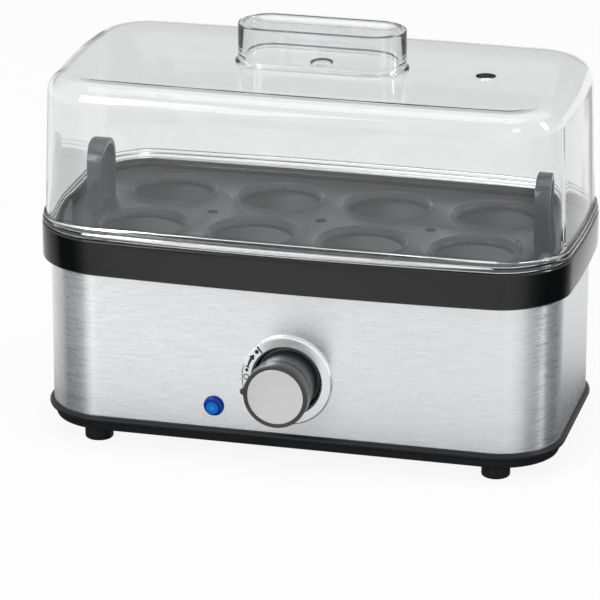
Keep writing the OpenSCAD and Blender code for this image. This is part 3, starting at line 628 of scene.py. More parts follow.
# %% Tree: strap along a path
strap_tree, given = new_tree("Strap along a path", {
    "Corner radius": "Float", "Width": "Float", "Thickness": "Float", "Edge radius": "Float"})
path = add_node(strap_tree, "GeometryNodeMeshToCurve", {"Mesh": given["Geometry"]})
bent = add_node(strap_tree, "GeometryNodeFilletCurve", {
    "Curve": path[0], "Radius": given["Corner radius"], "Count": 24}, mode="POLY")
flat_bar = add_node(strap_tree, "GeometryNodeCurvePrimitiveQuadrilateral", {
    "Width": given["Width"], "Height": given["Thickness"]})
soft_bar = add_node(strap_tree, "GeometryNodeFilletCurve", {
    "Curve": flat_bar[0], "Radius": given["Edge radius"], "Count": 4}, mode="POLY")
strap = add_node(strap_tree, "GeometryNodeCurveToMesh", {
    "Curve": bent[0], "Profile Curve": soft_bar[0], "Fill Caps": True})
end_tree(strap_tree, strap[0], given["Material"])
print(strap_tree.name, "has", len(strap_tree.nodes), "nodes")

# %% [markdown]
# ## Rule 3: copies on a grid
# Feet, screw wells, cooling slots and egg seats all stand in rows. The tree makes a grid of
# points and puts a copy of the start mesh on each. A 2 by 2 grid is the four corners.

# %% Tree: copies on a grid
grid_tree, given = new_tree("Copies on a grid", {
    "Columns": "Int", "Rows": "Int", "Size X": "Float", "Size Y": "Float"})
grid = add_node(grid_tree, "GeometryNodeMeshGrid", {
    "Size X": given["Size X"], "Size Y": given["Size Y"],
    "Vertices X": given["Columns"], "Vertices Y": given["Rows"]})
copies = add_node(grid_tree, "GeometryNodeInstanceOnPoints", {
    "Points": grid[0], "Instance": given["Geometry"]})
end_tree(grid_tree, copies[0], given["Material"])


def copies_on_grid(piece, columns, rows, pitch_x, pitch_y):
    """Repeats an object that was made round the housing's middle, and deletes it.

    The material only fills the tree's input: finish_piece gives the last one.
    """
    mesh = piece.data
    bpy.data.objects.remove(piece)
    return run_tree(mesh.name, grid_tree, mesh, {
        "Columns": columns, "Rows": rows, "Material": base_abs,
        "Size X": (columns - 1) * pitch_x * MM, "Size Y": (rows - 1) * pitch_y * MM})


print(grid_tree.name, "has", len(grid_tree.nodes), "nodes")

# %% [markdown]
# ## The steel housing
# A strip of steel, rolled to a rounded rectangle and welded at the back. Its section is a
# plain thin rectangle, so the first tree makes it whole. Three round holes are punched for
# the dial, the pilot lamp and the cord's gland.

# %% Housing
SHELL_T, SHELL_Z = 0.8, shell_low[2]
DIAL_X, DIAL_Z, BEZEL_R = round_mm("dial_bezel")
GLAND_X, GLAND_Z, _ = round_mm("cord_gland")
DIAL_HOLE_R, LENS_HOLE_R, GLAND_HOLE_R = 17.1, 4.05, 6.05
strip = [(0, -SHELL_Z), (0, -shell_high[2]), (-SHELL_T, -shell_high[2]), (-SHELL_T, -SHELL_Z)]
housing = run_tree("housing", wall_tree, edge_mesh([(x, y, 0) for x, y in strip]), {
    "Length": SHELL_L * MM, "Depth": SHELL_D * MM, "Corner radius": CORNER_R * MM,
    "Bows": (0, 0, 0), "Point spacing": 1.6 * MM, "Middle": MIDDLE, "Material": sleeve_steel})


def drill(x, z, radius, wall_y):
    """A rod through the wall at wall_y, for a round hole."""
    back, front = -wall_y - 3, -wall_y + 3
    return lathe("drill", [(0, back), (radius, back), (radius, front), (0, front)], (x, 0, z))


combine(housing, "DIFFERENCE",
        drill(DIAL_X, DIAL_Z, DIAL_HOLE_R, FRONT_Y),
        drill(LENS_X, LENS_Z, LENS_HOLE_R, FRONT_Y),
        drill(GLAND_X, GLAND_Z, GLAND_HOLE_R, -FRONT_Y))
finish_piece(housing, "housing", "brushed_steel", sleeve_steel, "body_shell")

# %% [markdown]
# ## The collar
# One polished black moulding that caps the housing and carries the dish. Seen from outside
# it is a bowed band with soft edges, and inside it has the mouth that the lid drops into
# and a ledge. Its sections differ from the ends to the sides, so it is lofted in a loop.

# %% Collar
BAND_H, FOOT_EDGE_R, TOP_EDGE_R = 16.9, 1, 1.2
MOUTH_IN, LEDGE_IN, LEDGE_T, SKIRT_IN, SKIRT_T = 0.6, 7.1, 2.4, 0.9, 2.3
LEDGE_Z = box_mm("plate_seal")[0][2]
foot_z = BAND_TOP - BAND_H
edges = (arc(FOOT_EDGE_R, foot_z + FOOT_EDGE_R, FOOT_EDGE_R, -90, -180)
         + arc(TOP_EDGE_R, BAND_TOP - TOP_EDGE_R, TOP_EDGE_R, 180, 90))
collar = loft("collar", [(band_line(inset), z) for inset, z in edges] + [
    (lid_line(MOUTH_IN + 0.3), BAND_TOP), (lid_line(MOUTH_IN), BAND_TOP - 0.3),
    (lid_line(MOUTH_IN), LEDGE_Z), (lid_line(LEDGE_IN), LEDGE_Z),
    (lid_line(LEDGE_IN), LEDGE_Z - LEDGE_T), (shell_line(SKIRT_IN + SKIRT_T), LEDGE_Z - LEDGE_T),
    (shell_line(SKIRT_IN + SKIRT_T), foot_z - 4), (shell_line(SKIRT_IN), foot_z - 4),
    (shell_line(SKIRT_IN), foot_z + 3), (shell_line(-SEAM), foot_z + 3),
    (shell_line(-SEAM), foot_z)], loop=True)
finish_piece(collar, "housing", "gloss_black", collar_abs, "trim_band")

# %% [markdown]
# ## The base
# A satin black tray under the housing: a low step, a rounded ledge that the steel stands
# on, and a lip inside the steel. Wells for four screws and two rows of cooling slots open
# to the underside. The cutters are repeated with the grid tree, then cut out together.

# %% Base
base_low, base_high = box_mm("base_tray")
STEP_Z, BASE_TOP = base_low[2], base_high[2]
rim = arc(0.4, SHELL_Z - 1.75, 1.6, -90, 90, 10)
base = loft("base", [
    (shell_line(1.7), STEP_Z), (shell_line(1.2), STEP_Z + 0.2), (shell_line(1), STEP_Z + 0.7),
    (shell_line(1), STEP_Z + 4)] + [(shell_line(-out), z) for out, z in rim] + [
    (shell_line(1.1), SHELL_Z - 0.15), (shell_line(1.1), BASE_TOP - 0.5),
    (shell_line(1.4), BASE_TOP), (shell_line(3.5), BASE_TOP), (shell_line(3.5), STEP_Z + 2.4)])
POST_X, POST_Y, BOSS_R, WELL_R, SCREW_R = 102.45, 47.2, 4.6, 3.4, 1.8
SLOT_W, SLOT_L, SLOT_PITCH = 4, 16, (12, 44)
bosses = copies_on_grid(lathe("bosses", [
    (0, STEP_Z + 1), (BOSS_R, STEP_Z + 1), (BOSS_R, STEP_Z + 9.4), (0, STEP_Z + 9.4)],
    upright=True, steps=32), 2, 2, 2 * POST_X, 2 * POST_Y)
wells = copies_on_grid(lathe("wells", [
    (0, STEP_Z - 1), (WELL_R + 0.5, STEP_Z - 1), (WELL_R + 0.5, STEP_Z), (WELL_R, STEP_Z + 0.5),
    (WELL_R, STEP_Z + 7), (SCREW_R, STEP_Z + 7), (SCREW_R, STEP_Z + 12), (0, STEP_Z + 12)],
    upright=True, steps=32), 2, 2, 2 * POST_X, 2 * POST_Y)
slots = copies_on_grid(loft("slots", [
    (outline(SLOT_W, SLOT_L, SLOT_W / 2 - 0.1, corner_steps=6, side_steps=1), STEP_Z + z)
    for z in (-1, 4)]), 5, 2, *SLOT_PITCH)
combine(base, "UNION", bosses)
combine(base, "DIFFERENCE", wells, slots)
finish_piece(base, "housing", "black_plastic", base_abs, "base_tray")

# %% [markdown]
# ## Feet
# Four turned rubber feet, drawn in at the foot by a small radius and dished underneath, as
# a moulded foot is. One is turned on a lathe and the grid tree puts it at each corner.

# %% Feet
FOOT_R, FOOT_X, FOOT_Y = 6.5, 92.3, 47.8
feet = copies_on_grid(lathe("feet", [(0, 0.8), (2.6, 0.8), (3.2, 0.15), (3.6, 0)]
    + arc(FOOT_R - 1, 1, 1, -90, 0) + [(FOOT_R, STEP_Z), (0, STEP_Z)],
    upright=True, steps=48), 2, 2, 2 * FOOT_X, 2 * FOOT_Y)
finish_piece(feet, "housing", "foot_rubber", foot_rubber, "feet")

# %% [markdown]
# ## The dial's ring
# A ring in silver lacquer that frames the dial. Turned parts like this are drawn as a profile
# and spun: a small outer bevel that catches the light, a faintly coned face for the marks,
# and an inner bevel that leads into the cup. Smooth shading would blur the cone into both
# bevels, so two extra circles of points lie on it close to its edges. A short spigot holds
# the ring in the steel.

# %% Dial ring
BORE_R, SPIGOT_R, FACE_OUT, FACE_FALL = 15.5, 17.0, 2, 0.38
FACE_EDGE = 0.9                # width of the bevels inside and outside the face
dial_place = (DIAL_X, FRONT_Y, DIAL_Z)


def ring_face(radius):
    """How far the face stands out: it falls a little towards its outer edge."""
    share = (radius - BORE_R - FACE_EDGE) / (BEZEL_R - BORE_R - 2 * FACE_EDGE)
    return FACE_OUT - FACE_FALL * share


ring_profile = (
    [(BORE_R, -2.3), (BORE_R, 1), (BORE_R + 0.8, 1.93), (BORE_R + 0.95, FACE_OUT)]
    + [(r, ring_face(r)) for r in (BORE_R + 1.05, BEZEL_R - 0.85, BEZEL_R - 0.75)]
    + [(BEZEL_R - 0.3, 1.2)] + arc(BEZEL_R - 0.5, 0.75, 0.5, 50, 0, 4)
    + [(BEZEL_R, 0.02), (SPIGOT_R, 0.02), (SPIGOT_R, -2.3)])
dial_ring = lathe("dial_ring", ring_profile, dial_place, loop=True, steps=160)
finish_piece(dial_ring, "housing", "silver_trim", ring_metal, "dial_bezel")

# %% [markdown]
# ## Shapes for the marks
# The marks are printed on the ring, so they are thin flat pieces that follow its circle. Two
# helpers give the rows of points of such a shape, from angles and radii round the dial.

# %% Shapes on the ring
def ring_patch(angles, inner, outer, steps=12):
    """Flat patch between two angles; the inner and outer radius may change along it."""
    rows = []
    for i in range(steps + 1):
        angle, low, high = (a + (b - a) * i / steps for a, b in (angles, inner, outer))
        rows.append([polar(low, angle), polar(high, angle)])
    return rows


def disc_rows(angle, radius, outer, inner=0.0, steps=24):
    """A dot, or a circle line if inner is given, centred on the ring at an angle."""
    cx, cz = polar(radius, angle)
    return [[(cx + x, cz + z) for x, z in (polar(r, 360 * i / steps) for r in (inner, outer))]
            for i in range(steps + 1)]


print("rows in a dot:", len(disc_rows(0, 18.6, 1)))

# %% [markdown]
# ## The dial's marks
# An open circle for off, a dot, a wedge that grows with the setting, a bigger dot and a
# bar. Each row of points gets a copy a little above and a little below the ring's face, so
# every mark is a closed film of ink, and all are joined in one mesh.

# %% Dial marks
INK_T, INK_SUNK = 0.03, 0.01
patches = [disc_rows(178.7, 18.5, 1.4, 0.95), disc_rows(168.3, 18.6, 0.8),
           ring_patch((164.6, 162.8), (17.7, 17.7), (19.5, 19.5), 2),
           ring_patch((163.5, 147), (18.2, 17.8), (18.9, 19.3)),
           ring_patch((149.5, 143), (17.1, 18.3), (20, 18.8)),
           disc_rows(136.8, 18.6, 1.0), ring_patch((132.8, 130.3), (16.7, 16.7), (20.2, 20.2), 2)]
verts, faces = [], []
for rows in patches:
    start = len(verts)
    for ends in rows:
        for lift in (INK_T, -INK_SUNK):
            verts += [(DIAL_X + x, FRONT_Y - ring_face(math.hypot(x, z)) - lift, DIAL_Z + z)
                      for x, z in ends]
    for i in range(len(rows) - 1):
        a, b = start + 4 * i, start + 4 * i + 4
        faces += [(a, b, b + 1, a + 1), (a + 2, a + 3, b + 3, b + 2), (a, a + 2, b + 2, b),
                  (a + 1, b + 1, b + 3, a + 3)]
    faces += [(start, start + 1, start + 3, start + 2)]
    end = start + 4 * (len(rows) - 1)
    faces += [(end, end + 2, end + 3, end + 1)]
marks = new_object("dial_marks", verts, faces)
finish_piece(marks, "housing", "gloss_black", ink)

# %% [markdown]
# ## The knob
# A deep satin knob with a thin rim round a silver disc. Its grip is a plain band that a
# fine groove ends. The body behind it draws in towards the cup, and a blunt ridge on the
# grip points at the marks. The body is turned. The ridge is joined to it by a boolean
# union, so the two share one skin as one moulding would.

# %% Knob
KNOB_OUT = MIDDLE_Y + FRONT_Y - box_mm("control_knob")[0][1]
CAP_R = round_mm("knob_cap")[2]
KNOB_R, KNOB_BACK, HOLLOW_R, HOLLOW_END = 14.6, 6.0, 11.7, 17
POINTER_ANGLE = 175
grip_end = KNOB_OUT - 8
knob = lathe("knob", [(0, KNOB_OUT - 1.35), (CAP_R + 0.1, KNOB_OUT - 1.35)]
    + arc(CAP_R + 0.5, KNOB_OUT - 0.4, 0.4, 180, 90, 4)
    + arc(KNOB_R - 0.6, KNOB_OUT - 0.6, 0.6, 90, 0, 6)
    + [(KNOB_R, grip_end + 0.3), (KNOB_R - 0.15, grip_end),
       (KNOB_R - 0.75, grip_end - 0.05), (KNOB_R - 0.75, grip_end - 0.4),
       (KNOB_R - 0.4, grip_end - 0.5), (KNOB_R - 0.84, -1.1), (KNOB_R, -1.3)]
    + [(KNOB_R, -KNOB_BACK), (HOLLOW_R, -KNOB_BACK), (HOLLOW_R, HOLLOW_END),
       (0, HOLLOW_END)],
    dial_place, steps=128)
out, side = polar(1, POINTER_ANGLE), polar(1, POINTER_ANGLE + 90)
wedge = [(KNOB_R - 1.2, 2.5)] + [(r, s) for s, r in arc(0, KNOB_R - 0.1, 1.6, 15, 165, 8)] + [
    (KNOB_R - 1.2, -2.5)]
verts, n = [], len(wedge)
for depth in (KNOB_OUT - 0.15, grip_end + 0.02):
    verts += [(DIAL_X + r * out[0] + s * side[0], FRONT_Y - depth,
               DIAL_Z + r * out[1] + s * side[1]) for r, s in wedge]
faces = [tuple(range(n)), tuple(range(2 * n - 1, n - 1, -1))] + [
    (k, k + n, (k + 1) % n + n, (k + 1) % n) for k in range(n)]
combine(knob, "UNION", new_object("pointer", verts, faces))
finish_piece(knob, "dial", "knob_black", knob_abs, "control_knob")

# %% [markdown]
# ## The knob's disc
# A brushed aluminium disc, glued into the knob a little below its rim. Its edge has a small
# radius, as a stamped blank has.

# %% Knob's disc
disc = lathe("knob_disc", [(0, KNOB_OUT - 1.3), (CAP_R, KNOB_OUT - 1.3)]
    + arc(CAP_R - 0.25, KNOB_OUT - 0.45, 0.25, 0, 90, 4) + [(0, KNOB_OUT - 0.2)],
    dial_place, steps=128)
finish_piece(disc, "dial", "cap_silver", cap_metal, "knob_cap")

# %% [markdown]
# ## The pilot lamp
# A small domed lens, pushed into its hole from the front. Its dome is half an ellipse, much
# wider than it is high, and a plain plug behind it fills the hole.

# %% Lens
PLUG_R, PLUG_L, DOME_FOOT, DOME_H = 4, 6, 0.45, 1.33
dome = [(LENS_R, 0.02), (LENS_R, DOME_FOOT)] + [
    (LENS_R * across, DOME_FOOT + DOME_H * up)
    for across, up in (polar(1, angle) for angle in range(10, 90, 10))] + [
    (0, DOME_FOOT + DOME_H)]
lens = lathe("lens", [(0, -PLUG_L), (PLUG_R, -PLUG_L), (PLUG_R, 0.02)] + dome,
             (LENS_X, FRONT_Y, LENS_Z), steps=64)
finish_piece(lens, "housing", "lens_blue", blue_acrylic, "indicator_lens")

# %% [markdown]
# ## The cord's gland
# At the back a short bushing with a flange leads the mains cord in.

# %% Gland
BUSH_R, FLANGE_R, CORD_R = 6.0, 8.0, 3.3
gland = lathe("gland", [(CORD_R, 9), (CORD_R, -4.6), (CORD_R + 1.2, -6), (BUSH_R - 0.6, -6),
    (BUSH_R, -5.4), (BUSH_R, -2.4), (BUSH_R + 0.4, -2), (FLANGE_R - 0.4, -2),
    (FLANGE_R, -1.6), (FLANGE_R, -0.02), (BUSH_R, -0.02), (BUSH_R, 9)],
    (GLAND_X, -FRONT_Y, GLAND_Z), loop=True, steps=64)
finish_piece(gland, "housing", "gland_black", cup_abs, "cord_gland")

# %% [markdown]
# ## The water dish
# The coated dish holds the water that boils away. Its wall drops straight down, its floor
# has rounded corners and two studs stand under it. The tray hides it until it is lifted out.

# %% Dish
BOWL_IN, BOWL_R, DISH_T, RIM_IN = 12.6, 3, 1.5, 0.9
WATER_Z = SEAT_Z - 14
HEAT_Z = WATER_Z - DISH_T
STUD_R, STUD_PITCH, STUD_Z = 2, 107.1, box_mm("water_dish")[0][2]


def bowl(inset, floor):
    """Rounded foot of the bowl, from its floor up to the wall."""
    turn = arc(inset + BOWL_R, floor + BOWL_R, BOWL_R, -90, -180)
    return [(lid_line(i), z) for i, z in turn]


dish = loft("dish", bowl(BOWL_IN, HEAT_Z) + [
    (lid_line(BOWL_IN), SEAT_Z - DISH_T), (lid_line(RIM_IN + 0.3), SEAT_Z - DISH_T),
    (lid_line(RIM_IN), SEAT_Z - DISH_T + 0.3), (lid_line(RIM_IN), SEAT_Z - 0.3),
    (lid_line(RIM_IN + 0.3), SEAT_Z)]
    + [(lid_line(BOWL_IN + DISH_T - 1 + math.sin(t)), SEAT_Z - 1 + math.cos(t))
       for t in (0, 0.4, 0.8, 1.2, 1.57)]
    + bowl(BOWL_IN + DISH_T, WATER_Z)[::-1])
studs = copies_on_grid(lathe("studs", [
    (0, HEAT_Z + 0.5), (STUD_R, HEAT_Z + 0.5), (STUD_R, STUD_Z + 0.4),
    (STUD_R - 0.4, STUD_Z), (0, STUD_Z)], upright=True, steps=24), 2, 1, STUD_PITCH, 0)
combine(dish, "UNION", studs)
finish_piece(dish, "housing", "dish_coating", coating, "water_dish")

# %% [markdown]
# ## The dish's seal
# A strip of red silicone lies on the collar's ledge, and the dish's rim presses on it. It
# follows the lid's bowed outline, so the tree for a wall sweeps its section.

# %% Seal
SEAL_W, SEAL_H = 6.2, 1.5
half_w, seal_in = SEAL_W / 2 - 0.1, RIM_IN + SEAL_W / 2
strip = [(-half_w, 0), (-half_w + 0.3, -SEAL_H), (half_w - 0.3, -SEAL_H), (half_w, 0)]
seal = run_tree("seal", wall_tree, edge_mesh([(x, y - LEDGE_Z, 0) for x, y in strip]), {
    "Length": (LID_L - 2 * seal_in) * MM, "Depth": (LID_D - 2 * seal_in) * MM,
    "Corner radius": (LID_R - seal_in) * MM, "Bows": (LID_BOW[0] * MM, LID_BOW[1] * MM, 0),
    "Point spacing": 2.5 * MM, "Middle": MIDDLE, "Material": seal_silicone})
finish_piece(seal, "housing", "silicone", seal_silicone, "plate_seal")

# %% [markdown]
# ## The egg tray
# A plate with softened edges and eight round seats. Each seat is a hole with a raised,
# sloping rim that centres an egg, and three small holes let steam through. One rim and one
# hole are turned and repeated by the grid tree, then joined to the plate and cut from it.

# %% Egg tray
TRAY_IN, TRAY_TOP, PITCH = 3.7, SEAT_Z + 2.8, 51.0
RIM_Z = box_mm("egg_tray")[1][2]
SEAT_R, RIM_R, STEAM_R = 18, 22, 2.5
tray = loft("tray", [
    (lid_line(TRAY_IN + 0.3), SEAT_Z), (lid_line(TRAY_IN), SEAT_Z + 0.3),
    (lid_line(TRAY_IN), TRAY_TOP - 0.6), (lid_line(TRAY_IN + 0.2), TRAY_TOP - 0.2),
    (lid_line(TRAY_IN + 0.7), TRAY_TOP)])
rim_solid = lathe("rims", [(0, SEAT_Z + 0.5), (RIM_R, SEAT_Z + 0.5), (RIM_R, TRAY_TOP),
    (RIM_R - 0.5, TRAY_TOP + 0.25), (RIM_R - 1.1, TRAY_TOP + 1.1)]
    + arc(RIM_R - 1.45, RIM_Z - 0.25, 0.25, 30, 90, 3) + [(0, RIM_Z)], upright=True)
seat_hole = lathe("seats", [(0, SEAT_Z - 1), (SEAT_R, SEAT_Z - 1), (SEAT_R, TRAY_TOP - 1.2),
    (SEAT_R + 0.15, TRAY_TOP - 0.8), (SEAT_R + 2.1, RIM_Z - 0.15), (SEAT_R + 2.4, RIM_Z),
    (SEAT_R + 2.8, RIM_Z + 1), (0, RIM_Z + 1)], upright=True)
steam_hole = lathe("steam", [(0, SEAT_Z - 1), (STEAM_R, SEAT_Z - 1), (STEAM_R, TRAY_TOP - 0.3),
    (STEAM_R + 0.3, TRAY_TOP), (STEAM_R + 0.3, TRAY_TOP + 1), (0, TRAY_TOP + 1)],
    upright=True, steps=32)
combine(tray, "UNION", copies_on_grid(rim_solid, 4, 2, PITCH, PITCH))
combine(tray, "DIFFERENCE", copies_on_grid(seat_hole, 4, 2, PITCH, PITCH),
        copies_on_grid(steam_hole, 3, 1, PITCH, 0))
finish_piece(tray, "tray", "tray_grey", painted_shade_tray_pp, "egg_tray")

# %% [markdown]
# ## The tray's arches
# At each end an arch of grey plastic strap stands up, to lift the tray out by. The path is
# four points and the strap tree rounds its corners. For an upright path Curve to Mesh
# keeps the section's x level, so the strap's width lies along the tray.

# %% Arches
arch_low, arch_high = box_mm("tray_handle_right")
ARCH_W, ARCH_T, ARCH_L, ARCH_R = 22.0, 3.2, 8.0, 10.0
half_w, top_z = (ARCH_W - ARCH_T) / 2, arch_high[2] - ARCH_T / 2
arch_x = (arch_low[0] + arch_high[0]) / 2
for side, name, node in ((1, "arch_right", "tray_handle_right"),
                         (-1, "arch_left", "tray_handle_left")):
    points = [(side * arch_x, MIDDLE_Y + y, z) for y, z in (
        (-half_w, SEAT_Z + 0.2), (-half_w, top_z), (half_w, top_z), (half_w, SEAT_Z + 0.2))]
    arch = run_tree(name, strap_tree, edge_mesh(points, closed=False), {
        "Corner radius": (ARCH_R - ARCH_T / 2) * MM, "Width": ARCH_L * MM,
        "Thickness": ARCH_T * MM, "Edge radius": 0.5 * MM, "Material": arch_pp})
    finish_piece(arch, "tray", "handle_grey", arch_pp, node)

# %% [markdown]
# ## The clear lid
# One closed shell: up the outside, and down the inside 2.2 mm further in, so that light
# bends twice at each wall. A spigot drops into the collar and two beads run round the
# foot. The wall leans in slightly and turns into the flat top by a wide fillet. A plain
# arc there would end in a hard line in the refraction, so the fillet is a superellipse,
# whose curvature fades out at both ends. One steam hole is drilled through the top, and a
# round dimple at its middle marks where the plastic came into the mould.

# %% Lid shell
lid_low, lid_high = box_mm("lid_shell")
LID_FOOT, LID_TOP, LID_T, LEAN, FILLET = lid_low[2], lid_high[2], 2.2, 1.8, 11
BEAD_R, VENT_R, VENT_X = 1.1, 4.2, 74.9


def lid_wall(inset, steps=18, power=0.87):
    """The fillet and the start of the flat top, from the wall upwards."""
    radius = FILLET - inset
    levels = []
    for i in range(steps + 1):
        cosine, sine = polar(1, 90 * i / steps)
        across, down = 1 - max(cosine, 0) ** power, 1 - sine ** power
        levels.append((lid_line(inset + LEAN + radius * across),
                       LID_TOP - inset - radius * down))
    return levels + [(lid_line(LEAN + FILLET + 12), LID_TOP - inset)]


def bead(inset, low):
    """Half-round bead on the flange, standing out to an inset."""
    half_round = arc(inset + BEAD_R, low + BEAD_R, BEAD_R, -90, -270)
    return [(band_line(i), z) for i, z in half_round]


foot = [(lid_line(1.3), LID_FOOT), (lid_line(1), LID_FOOT + 0.3),
        (lid_line(1), BAND_TOP + SEAM)]
flange = bead(0.15, BAND_TOP + SEAM) + bead(0.6, BAND_TOP + SEAM + 2.35)
wall_foot = [(lid_line(LEAN * 4.9 / 70.3), BAND_TOP + 4.9), (lid_line(0.5), BAND_TOP + 20)]
lid = loft("lid", lid_wall(LID_T)[::-1] + [(lid_line(LID_T), LID_FOOT)]
           + foot + flange + wall_foot + lid_wall(0))
combine(lid, "DIFFERENCE", lathe("steam", [(0, LID_TOP - 5), (VENT_R, LID_TOP - 5),
    (VENT_R, LID_TOP - 0.4), (VENT_R + 0.4, LID_TOP), (VENT_R + 0.4, LID_TOP + 1),
    (0, LID_TOP + 1)], (VENT_X, 0, 0), upright=True, steps=48))
combine(lid, "DIFFERENCE", lathe("gate_mark", [(0, LID_TOP - 0.5), (2.4, LID_TOP - 0.5),
    (3, LID_TOP - 0.7), (4.2, LID_TOP - 0.7), (5.2, LID_TOP), (5.2, LID_TOP + 1),
    (0, LID_TOP + 1)], upright=True, steps=64))
finish_piece(lid, "lid", "clear_lid", clear_san, "lid_shell")

# %% [markdown]
# ## The lid's handle
# A clear ring on the top, shaped like a racetrack, with a small flare where it meets the
# lid and a rounded upper edge. It is lofted in a loop from outlines whose corner radius is
# half their depth.

# %% Handle ring
RING_L, RING_W, RING_T, RING_EDGE_R = 77.0, 29.2, 2.7, 0.7
RING_TOP = box_mm("lid_handle")[1][2]


def track(inset):
    return outline(RING_L - 2 * inset, RING_W - 2 * inset, RING_W / 2 - inset - 0.01,
                   corner_steps=24, side_steps=6)


flare = [(-1.3, 0.02), (-1.3, 0.5), (-1.1, 0.9), (-0.6, 1.3), (-0.2, 1.9), (0, 2.8)]
edge_z = RING_TOP - RING_EDGE_R
edges = (arc(RING_EDGE_R, edge_z, RING_EDGE_R, 180, 90, 5)
         + arc(RING_T - RING_EDGE_R, edge_z, RING_EDGE_R, 90, 0, 5))
ring = loft("lid_ring", [(track(inset), LID_TOP + up) for inset, up in flare]
    + [(track(inset), z) for inset, z in edges]
    + [(track(RING_T), LID_TOP + up) for up in (2, 0.02)], loop=True)
finish_piece(ring, "lid", "clear_lid", clear_san, "lid_handle")

# %% [markdown]
# ## What stays as it is
# The parts under the dish and behind the dial are fasteners, stampings and leads whose
# solids already have the right shape. They only show through the slots, the dial's cup or
# an opened lid, so they keep their own meshes and get a material from the list above.

# %% Materials for the CAD pieces that stay
kept = {
    cup_abs: ["dial_cup", "lamp_nut", "gland_nut"],
    zinc_steel: ["base_screws", "bracket_screws", "clamp_bars", "dish_nuts", "fuse_clip",
                 "thermostat_bracket", "thermostat_shaft"],
    shield_steel: ["heat_shield"], sheath_steel: ["heating_element"],
    steatite: ["thermal_fuse", "thermostat"], nylon: ["terminal_block"],
    brass: ["terminal_screws"], lead_silicone: ["internal_leads"],
    clear_san: ["indicator_lamp"]}
for material, names in kept.items():
    for name in names:
        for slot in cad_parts[name].material_slots:
            slot.material = material
print("CAD pieces kept:", sum(len(names) for names in kept.values()))

# %% [markdown]
# ## Floor and background
# A plain white floor and a white world. Camera, glossy and transmission rays see plain
# white, so that the background is white through the lid and in the metal too, while the
# light that falls on the object stays at a plain level. The floor mixes that white with a
# shaded diffuse white, and keeps a faint shadow. Reflections pass through the floor to the
# cards that come next.

# %% Floor and world
def seen_share(tree):
    """1 for the rays that should meet plain white, and 0 for the rays that carry light."""
    path = add_node(tree, "ShaderNodeLightPath")
    share = path["Is Camera Ray"]
    for ray in ("Is Transmission Ray", "Is Glossy Ray"):
        share = add_node(tree, "ShaderNodeMath", {
            0: share, 1: path[ray]}, operation="MAXIMUM")[0]
    return share


floor_white, tree, _ = new_material("White floor")
lit = add_node(tree, "ShaderNodeBsdfDiffuse", {"Color": (0.8, 0.8, 0.8, 1)})[0]
white = add_node(tree, "ShaderNodeEmission", {"Color": (1, 1, 1, 1), "Strength": 1.0})[0]
soft = add_node(tree, "ShaderNodeMixShader", {0: 0.9, 1: lit, 2: white})[0]
surface = add_node(tree, "ShaderNodeMixShader", {0: seen_share(tree), 1: lit, 2: soft})[0]
tree.links.new(surface, tree.nodes["Material Output"].inputs["Surface"])

mesh = bpy.data.meshes.new("floor")
mesh.from_pydata([(x, y, 0) for x, y in ((-6, -6), (6, -6), (6, 6), (-6, 6))], [], [(0, 1, 2, 3)])
floor = add_object("floor", mesh)
floor.data.materials.append(floor_white)
floor.visible_glossy = False

LIGHT_LEVEL = 0.5
world = bpy.data.worlds.new("White studio")
bpy.context.scene.world = world
world.use_nodes = True
level = add_node(world.node_tree, "ShaderNodeMapRange", {
    "Value": seen_share(world.node_tree), "To Min": LIGHT_LEVEL, "To Max": 1.0})
background = world.node_tree.nodes["Background"]
background.inputs["Color"].default_value = (1, 1, 1, 1)
world.node_tree.links.new(level["Result"], background.inputs["Strength"])
bpy.context.scene.view_settings.view_transform = "Standard"
print("floor and world ready")

# %% [markdown]
# ## Lamps
# Three large softboxes give an even light. They are left out of reflections, where their
# square outlines would show. Two strips of light stay in: one brightens the front from the
# left, and one the rolled corner at the right.

# %% Lamps
def at(azimuth, distance, height):
    """A point round the object; azimuth 0 is in front, and 90 to the right."""
    return (*polar(distance, azimuth - 90), height)


def softbox(name, place, size, power, target=(0, 0, 0.09)):
    """A rectangular lamp at a place, aimed at a target."""
    lamp = bpy.data.lights.new(name, "AREA")
    lamp.shape = "RECTANGLE"
    lamp.size, lamp.size_y = size
    lamp.energy = power
    obj = add_object(name, lamp)
    obj.location = place
    aim = [t - p for t, p in zip(target, place)]
    obj.rotation_euler = (math.atan2(math.hypot(aim[0], aim[1]), -aim[2]), 0,
                          math.atan2(aim[1], aim[0]) - math.pi / 2)
    return obj


for lamp in (softbox("Softbox front", at(-30, 2.2, 1.1), (1.3, 1.3), 18, (0, 0, 0.12)),
             softbox("Softbox right", at(35, 2.2, 1.2), (0.7, 1.0), 7),
             softbox("Softbox above", (0, -0.1, 1.9), (1.6, 1.2), 10)):
    lamp.visible_glossy = False
softbox("Strip left", at(-30, 2.0, 0.9), (0.7, 1.2), 8)
softbox("Strip right", at(91, 2.0, 0.9), (0.2, 1.2), 12)

# %% [markdown]
# ## Toned cards
# Polished black plastic and brushed steel have no look of their own: they show what stands
# round them. So cards that only reflections see stand round the object. Each point of a
# card has a tone and an opacity, kept as a colour attribute, and one material shows them.

# %% Card helpers
card_paint, tree, _ = new_material("Painted card")
tone = add_node(tree, "ShaderNodeAttribute", attribute_name="tone")
paint = add_node(tree, "ShaderNodeEmission", {"Color": tone["Color"]})[0]
clear = add_node(tree, "ShaderNodeBsdfTransparent")[0]
faded = add_node(tree, "ShaderNodeMixShader", {0: tone["Alpha"], 1: clear, 2: paint})[0]
tree.links.new(faded, tree.nodes["Material Output"].inputs["Surface"])


